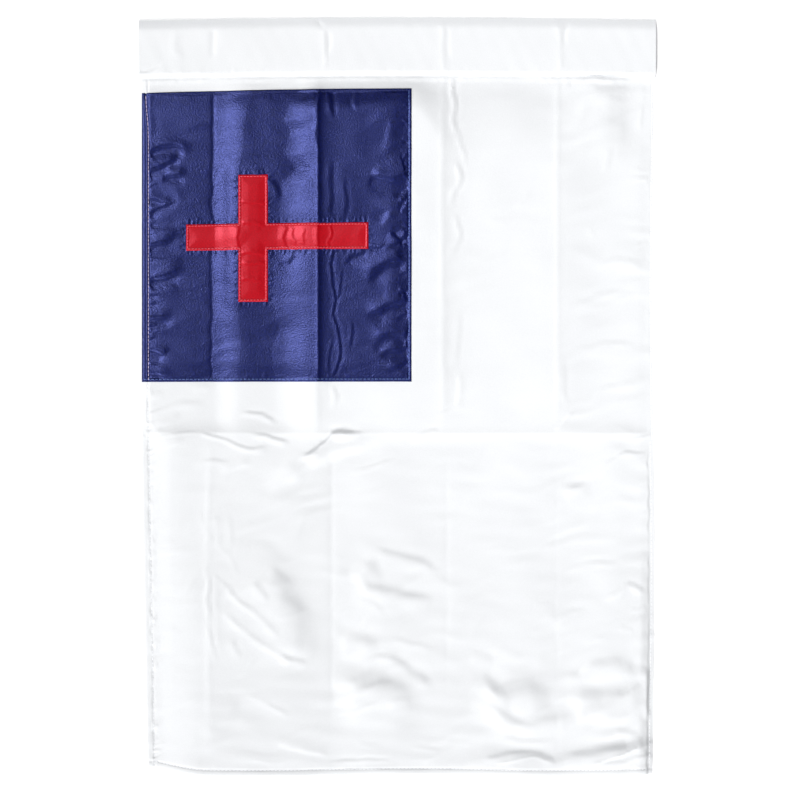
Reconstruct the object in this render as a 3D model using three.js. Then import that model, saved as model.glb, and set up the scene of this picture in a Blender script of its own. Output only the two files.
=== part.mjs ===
// A sewn house flag that lies face up on a flat surface.
// It has a white field with hemmed edges, a pole sleeve along its top edge, a blue canton
// sewn to the upper left corner and a red cross, lying on its side, sewn to the canton.
// Units are millimetres. +Z is up, +Y points to the sleeve, +X to the flag's right edge.
// The origin is on the surface, under the middle of the flag's box.

import * as THREE from 'three';

// Cloth and layers
const CLOTH = 1;
const LAYER_GAP = 0.3;

// Outline of the field
const SEAM_Y = 434.2;
const SEAM_BOW = 4.1;
const BOW_CENTRE_X = 20;
const BOW_REACH = 370;
const FIELD_TUCK = 1;
const LEFT_X = -348.3;
const LEFT_DRIFT = 10;
const DRIFT_TOP_Y = 10;
const RIGHT_X = 348.3;
const RIGHT_WAVE = { height: 1.8, centreY: 330, length: 118, fade: 60 };
const BOTTOM_Y = -513.8;
const BOTTOM_WAVE = { height: 1.3, centreX: -290, length: 66 };
const BOTTOM_CORNER = { lift: 9.4, reach: 75 };
const BOTTOM_REACH = 110;

// Sleeve, a strip folded double whose lower edge lies over the field's top edge
const SLEEVE_DEPTH = 76.8;
const SLEEVE_HEIGHT = 9;
const SLEEVE_OVERLAP = 3;
const SLEEVE_SEAM_WALL = { start: 2.5, end: 5 };
const SLEEVE_FOLD_WALL = 2;
const SLEEVE_LEFT = { seam: -348.8, fold: -351.5 };
const SLEEVE_RIGHT = { seam: 350.9, fold: 351.5 };
const SLEEVE_ROUNDNESS = 0.55;
const SLEEVE_SHARES = [0, 0.05, 0.11, 0.2, 0.34, 0.5, 0.66, 0.8, 0.89, 0.95, 1];
const SLEEVE_STEP = 27;

// Canton and cross, as the lines of the flag's grid that their edges follow
const CANTON = { left: -346.9, right: 19.7, top: 412.7, bottom: 20.4 };
const CROSS = {
  barLeft: -215.3, barRight: -175.2, barTop: 299.5, barBottom: 126.9,
  armLeft: -287.4, armRight: -38.9, armTop: 232.6, armBottom: 196.6,
};

// Packing folds that run down the flag. upper and lower are the height of the cloth's
// underside at the fold, above and below the fold that runs across the flag. The crowns
// are how far the panel on the fold's right swells. What is under zero lies flat on the
// surface. sleeve is how far the fold lifts the top of the sleeve.
const PACKING_FOLDS = [
  { x: -349, upper: -0.6, lower: -0.8, upperCrown: 3.2, lowerCrown: 2.0, sleeve: 0 },
  { x: -249, upper: -0.8, lower: 4.6, upperCrown: 0.8, lowerCrown: 0.6, sleeve: 0.3 },
  { x: -102, upper: 7.4, lower: -1.2, upperCrown: -1.4, lowerCrown: 3.6, sleeve: 1.2 },
  { x: 64, upper: 5.6, lower: -1.4, upperCrown: -2.4, lowerCrown: 4.2, sleeve: 1.0 },
  { x: 218, upper: 5.0, lower: -1.2, upperCrown: -1.0, lowerCrown: 3.0, sleeve: 0.9 },
  { x: 352, upper: -0.8, lower: -0.8, upperCrown: 0, lowerCrown: 0, sleeve: 0 },
];
const CROSS_FOLD = { y: -50, height: 2.2, reach: 26, blend: 34 };
const SEAM_REACH = 70;
const HEM_REACH = 62;
const HEM_SHARE = 0.25;
const EDGE_REACH = 22;

// Large wrinkles, each a soft ridge along a straight line
const WRINKLES = [
  { x0: 73, y0: 415, x1: 82, y1: 345, height: 3.0, width: 13 },
  { x0: 82, y0: 345, x1: 74, y1: 262, height: 2.4, width: 13 },
  { x0: -350, y0: -58, x1: -182, y1: -66, height: 2.2, width: 12 },
  { x0: -140, y0: -84, x1: -44, y1: -50, height: 3.6, width: 14 },
  { x0: -64, y0: -104, x1: -3, y1: -80, height: 2.4, width: 12 },
  { x0: 224, y0: -124, x1: 337, y1: -77, height: 3.2, width: 13 },
  { x0: -244, y0: -240, x1: -122, y1: -362, height: 2.6, width: 16 },
  { x0: -50, y0: -245, x1: 45, y1: -287, height: 2.4, width: 18 },
  { x0: 173, y0: -440, x1: 347, y1: -384, height: 3.4, width: 14 },
  { x0: 256, y0: -505, x1: 347, y1: -468, height: 3.4, width: 12 },
];

// Grid of the cloth. The field, the canton and the cross share its lines, so their facets
// lie one above the other. The fixed lines are hems, folds and the pieces' edges.
const HEM_WIDTH = 9;
const COLUMN_STEP = 24;
const ROW_STEP = 26;
const [, FOLD_ONE, FOLD_TWO, FOLD_THREE, FOLD_FOUR] = PACKING_FOLDS.map((fold) => fold.x);
const FIXED_COLUMNS = [
  LEFT_X, CANTON.left, CANTON.left + HEM_WIDTH, CROSS.armLeft, FOLD_ONE, CROSS.barLeft,
  CROSS.barRight, FOLD_TWO, CROSS.armRight, CANTON.right, FOLD_THREE, FOLD_FOUR,
  RIGHT_X - HEM_WIDTH, RIGHT_X,
];
const FIXED_ROWS = [
  SEAM_Y + FIELD_TUCK, CANTON.top, CROSS.barTop, CROSS.armTop, CROSS.armBottom,
  CROSS.barBottom, CANTON.bottom, CROSS_FOLD.y, BOTTOM_Y + HEM_WIDTH, BOTTOM_Y,
];

// Colours
const WHITE = '#f1f3f8';
const BLUE = '#2b3580';
const RED = '#cc2233';

const clamp01 = (value) => Math.min(1, Math.max(0, value));
const mix = (from, to, share) => from + (to - from) * share;
const smooth = (value) => {
  const t = clamp01(value);
  return t * t * (3 - 2 * t);
};

// Lines between the fixed ones, about one step apart
function gridLines(fixed, step) {
  const lines = [fixed[0]];
  for (let i = 1; i < fixed.length; i += 1) {
    const count = Math.max(1, Math.round(Math.abs(fixed[i] - fixed[i - 1]) / step));
    for (let k = 1; k <= count; k += 1) lines.push(mix(fixed[i - 1], fixed[i], k / count));
  }
  return lines;
}

const COLUMNS = gridLines(FIXED_COLUMNS, COLUMN_STEP);
const ROWS = gridLines(FIXED_ROWS, ROW_STEP);

// The seam and the rows near it arch a little
function seamBow(x) {
  return SEAM_BOW * (1 - ((x - BOW_CENTRE_X) / BOW_REACH) ** 2);
}

// Share of the seam's arch that a row follows, largest at the canton's top edge
function bowShare(y) {
  const nearCanton = smooth((SEAM_Y - y) / (SEAM_Y - CANTON.top));
  const fade = smooth((y - CROSS_FOLD.y) / (CANTON.top - CROSS_FOLD.y));
  return (1 + 0.5 * nearCanton) * fade;
}

// Where a point of the straight grid lies on the real, slightly crooked flag
function placed(x, y) {
  const leftShare = smooth((FOLD_ONE - x) / (FOLD_ONE - LEFT_X));
  const rightShare = smooth((x - FOLD_FOUR) / (RIGHT_X - FOLD_FOUR));
  const drift = LEFT_DRIFT * clamp01((DRIFT_TOP_Y - y) / (DRIFT_TOP_Y - BOTTOM_Y));
  const swing = Math.sin((y - RIGHT_WAVE.centreY) / RIGHT_WAVE.length);
  const wave = RIGHT_WAVE.height * swing * smooth((SEAM_Y - y) / RIGHT_WAVE.fade);
  const cornerX = LEFT_X + LEFT_DRIFT + BOTTOM_CORNER.reach;
  const corner = BOTTOM_CORNER.lift * clamp01((cornerX - x) / BOTTOM_CORNER.reach) ** 1.4;
  const ripple = BOTTOM_WAVE.height * Math.sin((x - BOTTOM_WAVE.centreX) / BOTTOM_WAVE.length);
  const bottomShare = smooth((BOTTOM_Y + BOTTOM_REACH - y) / BOTTOM_REACH);
  return {
    x: x + drift * leftShare + wave * rightShare,
    y: y + seamBow(x) * bowShare(y) + (corner - ripple) * bottomShare,
  };
}

// Height of one wrinkle's ridge at a point
function wrinkleHeight(wrinkle, x, y) {
  const alongX = wrinkle.x1 - wrinkle.x0;
  const alongY = wrinkle.y1 - wrinkle.y0;
  const reach = (x - wrinkle.x0) * alongX + (y - wrinkle.y0) * alongY;
  const share = clamp01(reach / (alongX ** 2 + alongY ** 2));
  const away = Math.hypot(x - wrinkle.x0 - share * alongX, y - wrinkle.y0 - share * alongY);
  return wrinkle.height * Math.exp(-((away / wrinkle.width) ** 2));
}

// The fold left of a point, the fold right of it and the point's share of the way between
function panelAt(x) {
  const last = PACKING_FOLDS.length - 2;
  let panel = 0;
  while (panel < last && x > PACKING_FOLDS[panel + 1].x) panel += 1;
  const from = PACKING_FOLDS[panel];
  const to = PACKING_FOLDS[panel + 1];
  return { from, to, share: clamp01((x - from.x) / (to.x - from.x)) };
}

// Height of the field's underside over the surface
function relief(x, y) {
  const { from, to, share } = panelAt(x);
  const crown = Math.sin(Math.PI * share) ** 2;
  const upper = mix(from.upper, to.upper, share) + from.upperCrown * crown;
  const lower = mix(from.lower, to.lower, share) + from.lowerCrown * crown;
  const above = smooth((y - CROSS_FOLD.y + CROSS_FOLD.blend) / (2 * CROSS_FOLD.blend));
  const hemShare = mix(HEM_SHARE, 1, smooth((y - BOTTOM_Y) / HEM_REACH));
  let height = mix(lower, upper, above) * hemShare;
  height += CROSS_FOLD.height * Math.exp(-Math.abs(y - CROSS_FOLD.y) / CROSS_FOLD.reach);
  WRINKLES.forEach((wrinkle) => { height += wrinkleHeight(wrinkle, x, y); });
  const seamShare = smooth((SEAM_Y - SLEEVE_OVERLAP - y) / SEAM_REACH);
  const edgeShare = smooth((x - LEFT_X) / EDGE_REACH) * smooth((RIGHT_X - x) / EDGE_REACH);
  return Math.max(0, height * seamShare * edgeShare);
}

function closedGeometry(positions, index) {
  const geometry = new THREE.BufferGeometry();
  geometry.setAttribute('position', new THREE.Float32BufferAttribute(positions, 3));
  geometry.setIndex(index);
  geometry.computeVertexNormals();
  return geometry;
}

// A closed sheet over the grid cells that covers() picks by their middle. Its underside is
// lifted over the relief. A cell edge with no neighbour gets a side wall.
function sheetGeometry(covers, lift) {
  const positions = [];
  const index = [];
  const numbers = new Map();
  const filled = (i, j) => {
    if (i < 0 || j < 0 || i > COLUMNS.length - 2 || j > ROWS.length - 2) return false;
    return covers((COLUMNS[i] + COLUMNS[i + 1]) / 2, (ROWS[j] + ROWS[j + 1]) / 2);
  };
  const vertex = (i, j, side) => {
    const key = `${i},${j},${side}`;
    if (!numbers.has(key)) {
      const spot = placed(COLUMNS[i], ROWS[j]);
      numbers.set(key, positions.length / 3);
      positions.push(spot.x, spot.y, relief(COLUMNS[i], ROWS[j]) + lift + side * CLOTH);
    }
    return numbers.get(key);
  };
  const quad = (a, b, c, d) => index.push(a, b, c, a, c, d);
  const neighbours = [[0, 1], [1, 0], [0, -1], [-1, 0]];
  for (let i = 0; i < COLUMNS.length - 1; i += 1) {
    for (let j = 0; j < ROWS.length - 1; j += 1) {
      if (!filled(i, j)) continue;
      const corners = [[i, j + 1], [i + 1, j + 1], [i + 1, j], [i, j]];
      const top = corners.map(([column, row]) => vertex(column, row, 1));
      const under = corners.map(([column, row]) => vertex(column, row, 0));
      const turn = (i + j) % 2;
      quad(top[turn], top[turn + 1], top[turn + 2], top[(turn + 3) % 4]);
      quad(under[turn], under[(turn + 3) % 4], under[turn + 2], under[turn + 1]);
      neighbours.forEach(([columns, rows], edge) => {
        if (filled(i + columns, j + rows)) return;
        const next = (edge + 1) % 4;
        quad(under[edge], under[next], top[next], top[edge]);
      });
    }
  }
  return closedGeometry(positions, index);
}

// Height of the sleeve's upper surface at a share of the way from the seam to the fold
function sleeveTop(x, share) {
  const { from, to, share: panelShare } = panelAt(x);
  const lift = mix(from.sleeve, to.sleeve, panelShare);
  const flange = 2 * CLOTH + LAYER_GAP;
  const swell = Math.sin(Math.PI * clamp01(share)) ** SLEEVE_ROUNDNESS;
  return flange + (SLEEVE_HEIGHT + lift - flange) * swell;
}

// The sleeve's section at one station, as points of across (from the seam line) and height
function sleeveSection(x) {
  const outer = [
    [-SLEEVE_OVERLAP, CLOTH + LAYER_GAP],
    [SLEEVE_SEAM_WALL.start, CLOTH + LAYER_GAP],
    [SLEEVE_SEAM_WALL.start, 0],
    [SLEEVE_DEPTH - SLEEVE_FOLD_WALL, 0],
  ];
  const inner = [
    [SLEEVE_SEAM_WALL.end, CLOTH],
    [SLEEVE_DEPTH - SLEEVE_FOLD_WALL, CLOTH],
  ];
  [...SLEEVE_SHARES].reverse().forEach((share) => {
    outer.push([share * SLEEVE_DEPTH, sleeveTop(x, share)]);
    const across = mix(SLEEVE_SEAM_WALL.end, SLEEVE_DEPTH - SLEEVE_FOLD_WALL, share);
    inner.push([across, sleeveTop(x, across / SLEEVE_DEPTH) - CLOTH]);
  });
  outer.push([-SLEEVE_OVERLAP, 2 * CLOTH + LAYER_GAP]);
  return { outer, inner };
}

// The sleeve: its outer and inner walls run from end to end, and both ends are open
function sleeveGeometry() {
  const stations = gridLines(
    [SLEEVE_LEFT.seam, FOLD_ONE, FOLD_TWO, FOLD_THREE, FOLD_FOUR, SLEEVE_RIGHT.seam],
    SLEEVE_STEP,
  );
  const sections = stations.map(sleeveSection);
  const outerCount = sections[0].outer.length;
  const ringCount = outerCount + sections[0].inner.length;
  const positions = [];
  const index = [];
  const last = stations.length - 1;
  const quad = (a, b, c, d) => index.push(a, b, c, a, c, d);
  stations.forEach((x, station) => {
    const { outer, inner } = sections[station];
    [...outer, ...inner].forEach(([across, height]) => {
      const share = clamp01(across / SLEEVE_DEPTH);
      let edgeX = x;
      if (station === 0) edgeX = mix(SLEEVE_LEFT.seam, SLEEVE_LEFT.fold, share);
      if (station === last) edgeX = mix(SLEEVE_RIGHT.seam, SLEEVE_RIGHT.fold, share);
      positions.push(edgeX, SEAM_Y + seamBow(x) + across, height);
    });
  });
  for (let station = 0; station < last; station += 1) {
    const here = station * ringCount;
    const there = here + ringCount;
    for (let k = 0; k < outerCount; k += 1) {
      const next = (k + 1) % outerCount;
      quad(here + k, here + next, there + next, there + k);
    }
    for (let k = outerCount; k < ringCount; k += 1) {
      const next = k + 1 < ringCount ? k + 1 : outerCount;
      quad(here + next, here + k, there + k, there + next);
    }
  }
  [0, last].forEach((station) => {
    const toVector = ([across, height]) => new THREE.Vector2(across, height);
    const { outer, inner } = sections[station];
    const faces = THREE.ShapeUtils.triangulateShape(outer.map(toVector), [inner.map(toVector)]);
    faces.forEach(([a, b, c]) => {
      const start = station * ringCount;
      const corners = station === last ? [a, b, c] : [a, c, b];
      corners.forEach((corner) => index.push(start + corner));
    });
  });
  return closedGeometry(positions, index);
}

function piece(name, geometry, color, roughness) {
  const material = new THREE.MeshStandardMaterial({ color, roughness, metalness: 0 });
  const mesh = new THREE.Mesh(geometry, material);
  mesh.name = name;
  return mesh;
}

// Whether a grid point lies between four grid lines
function between(x, y, left, right, bottom, top) {
  return x > left && x < right && y > bottom && y < top;
}

const inCanton = (x, y) => between(x, y, CANTON.left, CANTON.right, CANTON.bottom, CANTON.top);
const inCross = (x, y) => between(x, y, CROSS.barLeft, CROSS.barRight, CROSS.barBottom, CROSS.barTop)
  || between(x, y, CROSS.armLeft, CROSS.armRight, CROSS.armBottom, CROSS.armTop);
const LAYER = CLOTH + LAYER_GAP;

const flag = new THREE.Group();
flag.name = 'flag';
flag.add(piece('field', sheetGeometry(() => true, 0), WHITE, 0.6));
flag.add(piece('sleeve', sleeveGeometry(), WHITE, 0.6));
flag.add(piece('canton', sheetGeometry(inCanton, LAYER), BLUE, 0.45));
flag.add(piece('cross', sheetGeometry(inCross, 2 * LAYER), RED, 0.45));

export default flag;
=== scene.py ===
# %% [markdown]
# # A Christian flag laid out flat
# This lesson dresses a finished model of a house flag. The model gives the size and place of
# four pieces of cloth: a white field, a pole sleeve, a blue canton and a red cross. Each one
# is rebuilt here as a thin sheet with its own folds, hems, stitches and weave.

# %% Load the fixed frame
import math

import bpy
import numpy as np
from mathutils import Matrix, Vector
from mathutils.geometry import tessellate_polygon


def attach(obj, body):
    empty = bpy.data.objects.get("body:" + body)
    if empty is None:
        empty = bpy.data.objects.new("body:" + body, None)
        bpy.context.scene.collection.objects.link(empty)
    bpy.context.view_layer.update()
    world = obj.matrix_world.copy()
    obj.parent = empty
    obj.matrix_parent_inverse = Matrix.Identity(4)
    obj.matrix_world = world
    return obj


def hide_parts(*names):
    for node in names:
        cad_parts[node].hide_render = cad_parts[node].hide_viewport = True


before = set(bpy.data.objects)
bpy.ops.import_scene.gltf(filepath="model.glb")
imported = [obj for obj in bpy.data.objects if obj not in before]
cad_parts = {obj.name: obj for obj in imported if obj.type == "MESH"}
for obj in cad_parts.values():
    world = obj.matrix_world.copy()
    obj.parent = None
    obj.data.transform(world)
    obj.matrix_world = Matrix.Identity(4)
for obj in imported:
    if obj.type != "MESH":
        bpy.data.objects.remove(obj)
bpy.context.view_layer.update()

# %% [markdown]
# ## Camera
# The flag was photographed from straight above its middle. A long lens a few metres up keeps
# its edges straight. The picture is square, and one pixel of it covers 1.36 mm of cloth, which
# is the one measure that ties the picture to the flag.

# %% Look straight down
MM = 0.001
PICTURE_PIXELS = 793
PIXEL_MM = 1.36
LENS_MM = 100
SENSOR_MM = 36
OFF_CENTRE = (-0.5, -0.25)

camera_data = bpy.data.cameras.new("flag_camera")
camera_data.lens = LENS_MM
camera_data.sensor_width = SENSOR_MM
camera = bpy.data.objects.new("flag_camera", camera_data)
view_width = PICTURE_PIXELS * PIXEL_MM * MM
camera.location = (OFF_CENTRE[0] * PIXEL_MM * MM, OFF_CENTRE[1] * PIXEL_MM * MM,
                   view_width * LENS_MM / SENSOR_MM)
bpy.context.scene.collection.objects.link(camera)
bpy.context.scene.camera = camera
print("camera height in metres:", round(camera.location.z, 3))

# %% [markdown]
# ## Lamps
# Satin nylon shows its folds only where the light comes from one side. The main lamp is a
# large soft one, low beyond the bottom edge and a little to the left, so a slope that faces it
# is bright and one that faces the sleeve is dark. A lamp high on the left gives the canton its
# sheen. Two weak panels, one high on the right and one low beyond the sleeve, reach what the
# main lamp leaves grey. They stay out of the reflections, where they would fill the dark
# creases of the blue cloth.

# %% Hang the lamps
SIDE_LAMP = (-0.4, -1.0, 0.55)
SHEEN_LAMP = (-0.4, 0.18, 1.0)
LAMP_COLOUR = (1.0, 0.985, 0.96)


def soft_lamp(name, towards, strength, spread):
    """A far soft lamp. towards is the direction from the flag to it, spread its width in degrees."""
    lamp_data = bpy.data.lights.new(name, "SUN")
    lamp_data.energy = strength
    lamp_data.angle = math.radians(spread)
    lamp_data.color = LAMP_COLOUR
    lamp = bpy.data.objects.new(name, lamp_data)
    lamp.rotation_euler = Vector(towards).to_track_quat("Z", "Y").to_euler()
    bpy.context.scene.collection.objects.link(lamp)
    return lamp


def panel_lamp(name, place, away, size, watts):
    """A glowing rectangle. away points to it from what it lights, size is in metres."""
    lamp_data = bpy.data.lights.new(name, "AREA")
    lamp_data.shape = "RECTANGLE"
    lamp_data.size, lamp_data.size_y = size
    lamp_data.energy = watts
    lamp = bpy.data.objects.new(name, lamp_data)
    lamp.location = place
    lamp.rotation_euler = Vector(away).to_track_quat("Z", "Y").to_euler()
    lamp.visible_glossy = False
    bpy.context.scene.collection.objects.link(lamp)
    return lamp


lamps = [
    soft_lamp("side_lamp", SIDE_LAMP, 3.75, 30),
    soft_lamp("sheen_lamp", SHEEN_LAMP, 1.6, 10),
    panel_lamp("corner_lamp", (0.55, 0.02, 1.1), (0.45, -0.08, 1.1), (0.8, 0.8), 5.6),
    panel_lamp("edge_lamp", (0, 0.85, 0.04), (0, 1, 0.06), (1.1, 0.06), 2.1),
]
print("hung", len(lamps), "lamps")

# %% [markdown]
# ## Room and floor
# The room is a pale world that is brighter on the side of the main lamp, so it fills the
# shadows and still leaves the folds some contrast. The floor is plain and almost white, as
# under the real flag. The cloth's underside rests at zero and the floor lies a little lower,
# so that the two never fight for the same place.

# %% Pale room and floor
ROOM_COLOUR = (0.82, 0.89, 1.0, 1)
BRIGHT_SIDE = (-0.6, -0.65, 0.0)
ROOM_DARK, ROOM_BRIGHT = 0.02, 0.95
FLOOR_COLOUR = (0.96, 0.96, 0.96, 1)
FLOOR_Z = -0.0004

world = bpy.data.worlds.new("pale_room")
bpy.context.scene.world = world
world.use_nodes = True
world_nodes, world_links = world.node_tree.nodes, world.node_tree.links
background = world_nodes["Background"]
background.inputs["Color"].default_value = ROOM_COLOUR
sky_direction = world_nodes.new("ShaderNodeTexCoord")
towards_lamp = world_nodes.new("ShaderNodeVectorMath")
towards_lamp.operation = "DOT_PRODUCT"
towards_lamp.inputs[1].default_value = BRIGHT_SIDE
world_links.new(sky_direction.outputs["Generated"], towards_lamp.inputs[0])
room_light = world_nodes.new("ShaderNodeMapRange")
room_light.inputs["From Min"].default_value = -0.15
room_light.inputs["From Max"].default_value = 0.85
room_light.inputs["To Min"].default_value = ROOM_DARK
room_light.inputs["To Max"].default_value = ROOM_BRIGHT
world_links.new(towards_lamp.outputs["Value"], room_light.inputs["Value"])
world_links.new(room_light.outputs["Result"], background.inputs["Strength"])
bpy.context.scene.view_settings.view_transform = "Standard"
bpy.context.scene.view_settings.look = "None"

bpy.ops.mesh.primitive_plane_add(size=9, location=(0, 0, FLOOR_Z))
floor = bpy.context.object
floor.name = "floor"
floor_material = bpy.data.materials.new("pale_floor")
floor_material.use_nodes = True
floor_shader = floor_material.node_tree.nodes["Principled BSDF"]
floor_shader.inputs["Base Color"].default_value = FLOOR_COLOUR
floor_shader.inputs["Roughness"].default_value = 0.9
floor_shader.inputs["Specular IOR Level"].default_value = 0.1
floor.data.materials.append(floor_material)
print("floor at", FLOOR_Z, "m, under a room from", ROOM_DARK, "to", ROOM_BRIGHT)

# %% [markdown]
# ## The flag's outline
# A sewn flag is never quite square. Its seam arches a little, its left edge drifts inwards
# towards the bottom, and its lower left corner is pulled up towards the sleeve. All pieces are
# laid out on one straight grid in millimetres, and `placed` moves every point of it to where it
# really lies.

# %% Straight grid to crooked flag
SEAM_Y = 434.2
SEAM_BOW, BOW_CENTRE_X, BOW_REACH = 4.1, 20, 370
LEFT_X, RIGHT_X = -348.3, 348.3
BOTTOM_Y = -513.8
LEFT_DRIFT, DRIFT_TOP_Y = 10, 10
RIGHT_WAVE, RIGHT_WAVE_Y, RIGHT_WAVE_LENGTH = 1.8, 330, 118
BOTTOM_WAVE, BOTTOM_WAVE_X, BOTTOM_WAVE_LENGTH = 1.3, -290, 66
CORNER_LIFT, CORNER_REACH, BOTTOM_REACH = 9.4, 75, 110
CANTON = {"left": -346.9, "right": 19.7, "top": 411.9, "bottom": 19.4}
CROSS = {
    "bar_left": -215.3, "bar_right": -175.2, "bar_top": 297.3, "bar_bottom": 126.9,
    "arm_left": -286.4, "arm_right": -38.9, "arm_top": 232.0, "arm_bottom": 196.6,
}
CROSS_FOLD_Y = -50
LEFT_FOLD_X, RIGHT_FOLD_X = -249, 218


def smooth(value):
    """0 below zero, 1 above one, and a soft step between."""
    t = np.clip(value, 0, 1)
    return t * t * (3 - 2 * t)


def seam_bow(x):
    return SEAM_BOW * (1 - ((x - BOW_CENTRE_X) / BOW_REACH) ** 2)


def placed(x, y):
    """Where a point of the straight grid lies on the real flag, in millimetres."""
    left_share = smooth((LEFT_FOLD_X - x) / (LEFT_FOLD_X - LEFT_X))
    right_share = smooth((x - RIGHT_FOLD_X) / (RIGHT_X - RIGHT_FOLD_X))
    drift = LEFT_DRIFT * np.clip((DRIFT_TOP_Y - y) / (DRIFT_TOP_Y - BOTTOM_Y), 0, 1)
    swing = np.sin((y - RIGHT_WAVE_Y) / RIGHT_WAVE_LENGTH) * smooth((SEAM_Y - y) / 60)
    near_canton = smooth((SEAM_Y - y) / (SEAM_Y - CANTON["top"]))
    fade = smooth((y - CROSS_FOLD_Y) / (CANTON["top"] - CROSS_FOLD_Y))
    corner_x = LEFT_X + LEFT_DRIFT + CORNER_REACH
    corner = CORNER_LIFT * np.clip((corner_x - x) / CORNER_REACH, 0, 1) ** 1.4
    ripple = BOTTOM_WAVE * np.sin((x - BOTTOM_WAVE_X) / BOTTOM_WAVE_LENGTH)
    bottom_share = smooth((BOTTOM_Y + BOTTOM_REACH - y) / BOTTOM_REACH)
    real_x = x + drift * left_share + RIGHT_WAVE * swing * right_share
    real_y = y + seam_bow(x) * (1 + 0.5 * near_canton) * fade + (corner - ripple) * bottom_share
    return real_x, real_y


print("seam rises", round(float(seam_bow(BOW_CENTRE_X)), 2), "mm in the middle")

# %% [markdown]
# ## Packing folds
# The flag was sold folded, and it keeps four folds down its length and one across. A fold that
# is a ridge above the cross fold is a valley below it, as in any cloth folded twice. Between
# folds each panel sags or swells. `where` is the place of that swell across its panel.

# %% Folds of both halves
FOLDS = [
    # upper half: x, height, then the panel on its right: swell, where; then the lower half
    {"up_x": -349, "up": 3.0, "up_swell": 0.0, "up_where": 0.4,
     "low_x": -349, "low": 1.2, "low_swell": 0.8, "low_where": 0.5},
    {"up_x": -247.5, "up": 0.0, "up_swell": 0.0, "up_where": 0.5,
     "low_x": -254, "low": 3.6, "low_swell": 0.4, "low_where": 0.6},
    {"up_x": -106.8, "up": 8.4, "up_swell": -1.8, "up_where": 0.14,
     "low_x": -88.5, "low": 1.6, "low_swell": 1.0, "low_where": 0.4},
    {"up_x": 62, "up": 8.0, "up_swell": -1.6, "up_where": 0.25,
     "low_x": 68, "low": 2.0, "low_swell": 0.8, "low_where": 0.6},
    {"up_x": 218, "up": 5.4, "up_swell": -0.8, "up_where": 0.5,
     "low_x": 217, "low": 1.8, "low_swell": 1.0, "low_where": 0.6},
    {"up_x": 352, "up": 0.0, "up_swell": 0, "up_where": 0.5,
     "low_x": 352, "low": 0.0, "low_swell": 0, "low_where": 0.5},
]
print("folds of the upper half at", [fold["up_x"] for fold in FOLDS[1:-1]])

# %% [markdown]
# ## A terrace under the canton
# Behind the cross one panel doesn't rise evenly. It climbs, stays almost level for a while and
# climbs on. The sheen shows only on the climbing parts, which gives the canton its two light
# stripes with a dark one between them. The edges of the terrace wander, as in the photo.

# %% A panel that rises in two steps
TERRACED_FOLD_X = -247.5
TERRACE_LEFT = [
    (20, -216), (74, -213), (124, -217), (245, -217), (303, -217), (330, -210), (365, -208), (415, -197)]
TERRACE_RIGHT = [
    (20, -165), (62, -170), (92, -160), (128, -170), (240, -160), (286, -156), (304, -137), (325, -153),
    (357, -145), (370, -154), (390, -146), (413, -132)]
TERRACE_DIP = 0.14
TERRACE_SHIFT = {"share": 0.22, "below": 150, "reach": 80}


def eased(value):
    """A rise from 0 to 1 whose slope is half as steep at its ends."""
    t = np.clip(value, 0, 1)
    return t - 0.5 * np.sin(2 * np.pi * t) / (2 * np.pi)


def terraced(x, y, x0, x1):
    """Share of a panel's rise: it climbs, dips a little between two uneven lines, and climbs on."""
    left = np.interp(y, *zip(*TERRACE_LEFT))
    right = np.interp(y, *zip(*TERRACE_RIGHT))
    moved = TERRACE_SHIFT["share"] * smooth((TERRACE_SHIFT["below"] - y) / TERRACE_SHIFT["reach"])
    first = (0.5 + TERRACE_DIP / 2 - moved) * eased((x - x0) / (left - x0))
    second = (0.5 + TERRACE_DIP / 2 + moved) * eased((x - right) / (x1 - right))
    return first + second - TERRACE_DIP * smooth((x - left) / (right - left))


print("terrace from", TERRACE_LEFT[0], "and", TERRACE_RIGHT[0], "upwards")

# %% [markdown]
# ## Height of the cloth
# The two halves meet at the fold across, which stands up a little. At the seam and the side
# edges the cloth comes down to the floor, but at the bottom hem the folds run on. The lower
# half is lifted as a whole, which leaves room for its hollows. One function gives this height,
# and the field, the canton and the cross are laid on it.

# %% Height of the cloth over the floor
CROSS_FOLD = {"height": 1.6, "reach": 12, "blend": 22}
SEAM_REACH, SEAM_REACH_RIGHT, SEAM_SPREADS_AT = 56, 60, 20
HEM_REACH, HEM_SHARE, EDGE_REACH = 62, 0.9, (40, 14)
LOWER_LIFT = {"height": 3.4, "below": -150, "reach": 180, "inset": 20, "side_reach": 60}
UPPER_SOFTENED = {"share": 0.5, "from": -80, "reach": 110}


def half_relief(x, y, half):
    """Height of the folded panels of one half of the flag, up or low."""
    height = np.zeros_like(x)
    for left, right in zip(FOLDS, FOLDS[1:]):
        x0, x1 = left[half + "_x"], right[half + "_x"]
        share = np.clip((x - x0) / (x1 - x0), 0, 1)
        bent = share ** (math.log(0.5) / math.log(left[half + "_where"]))
        climb = terraced(x, y, x0, x1) if left[half + "_x"] == TERRACED_FOLD_X else share
        panel = left[half] + (right[half] - left[half]) * climb
        panel = panel + left[half + "_swell"] * np.sin(np.pi * bent) ** 2
        height = np.where((x >= x0) & (x <= x1), panel, height)
    return height


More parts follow.
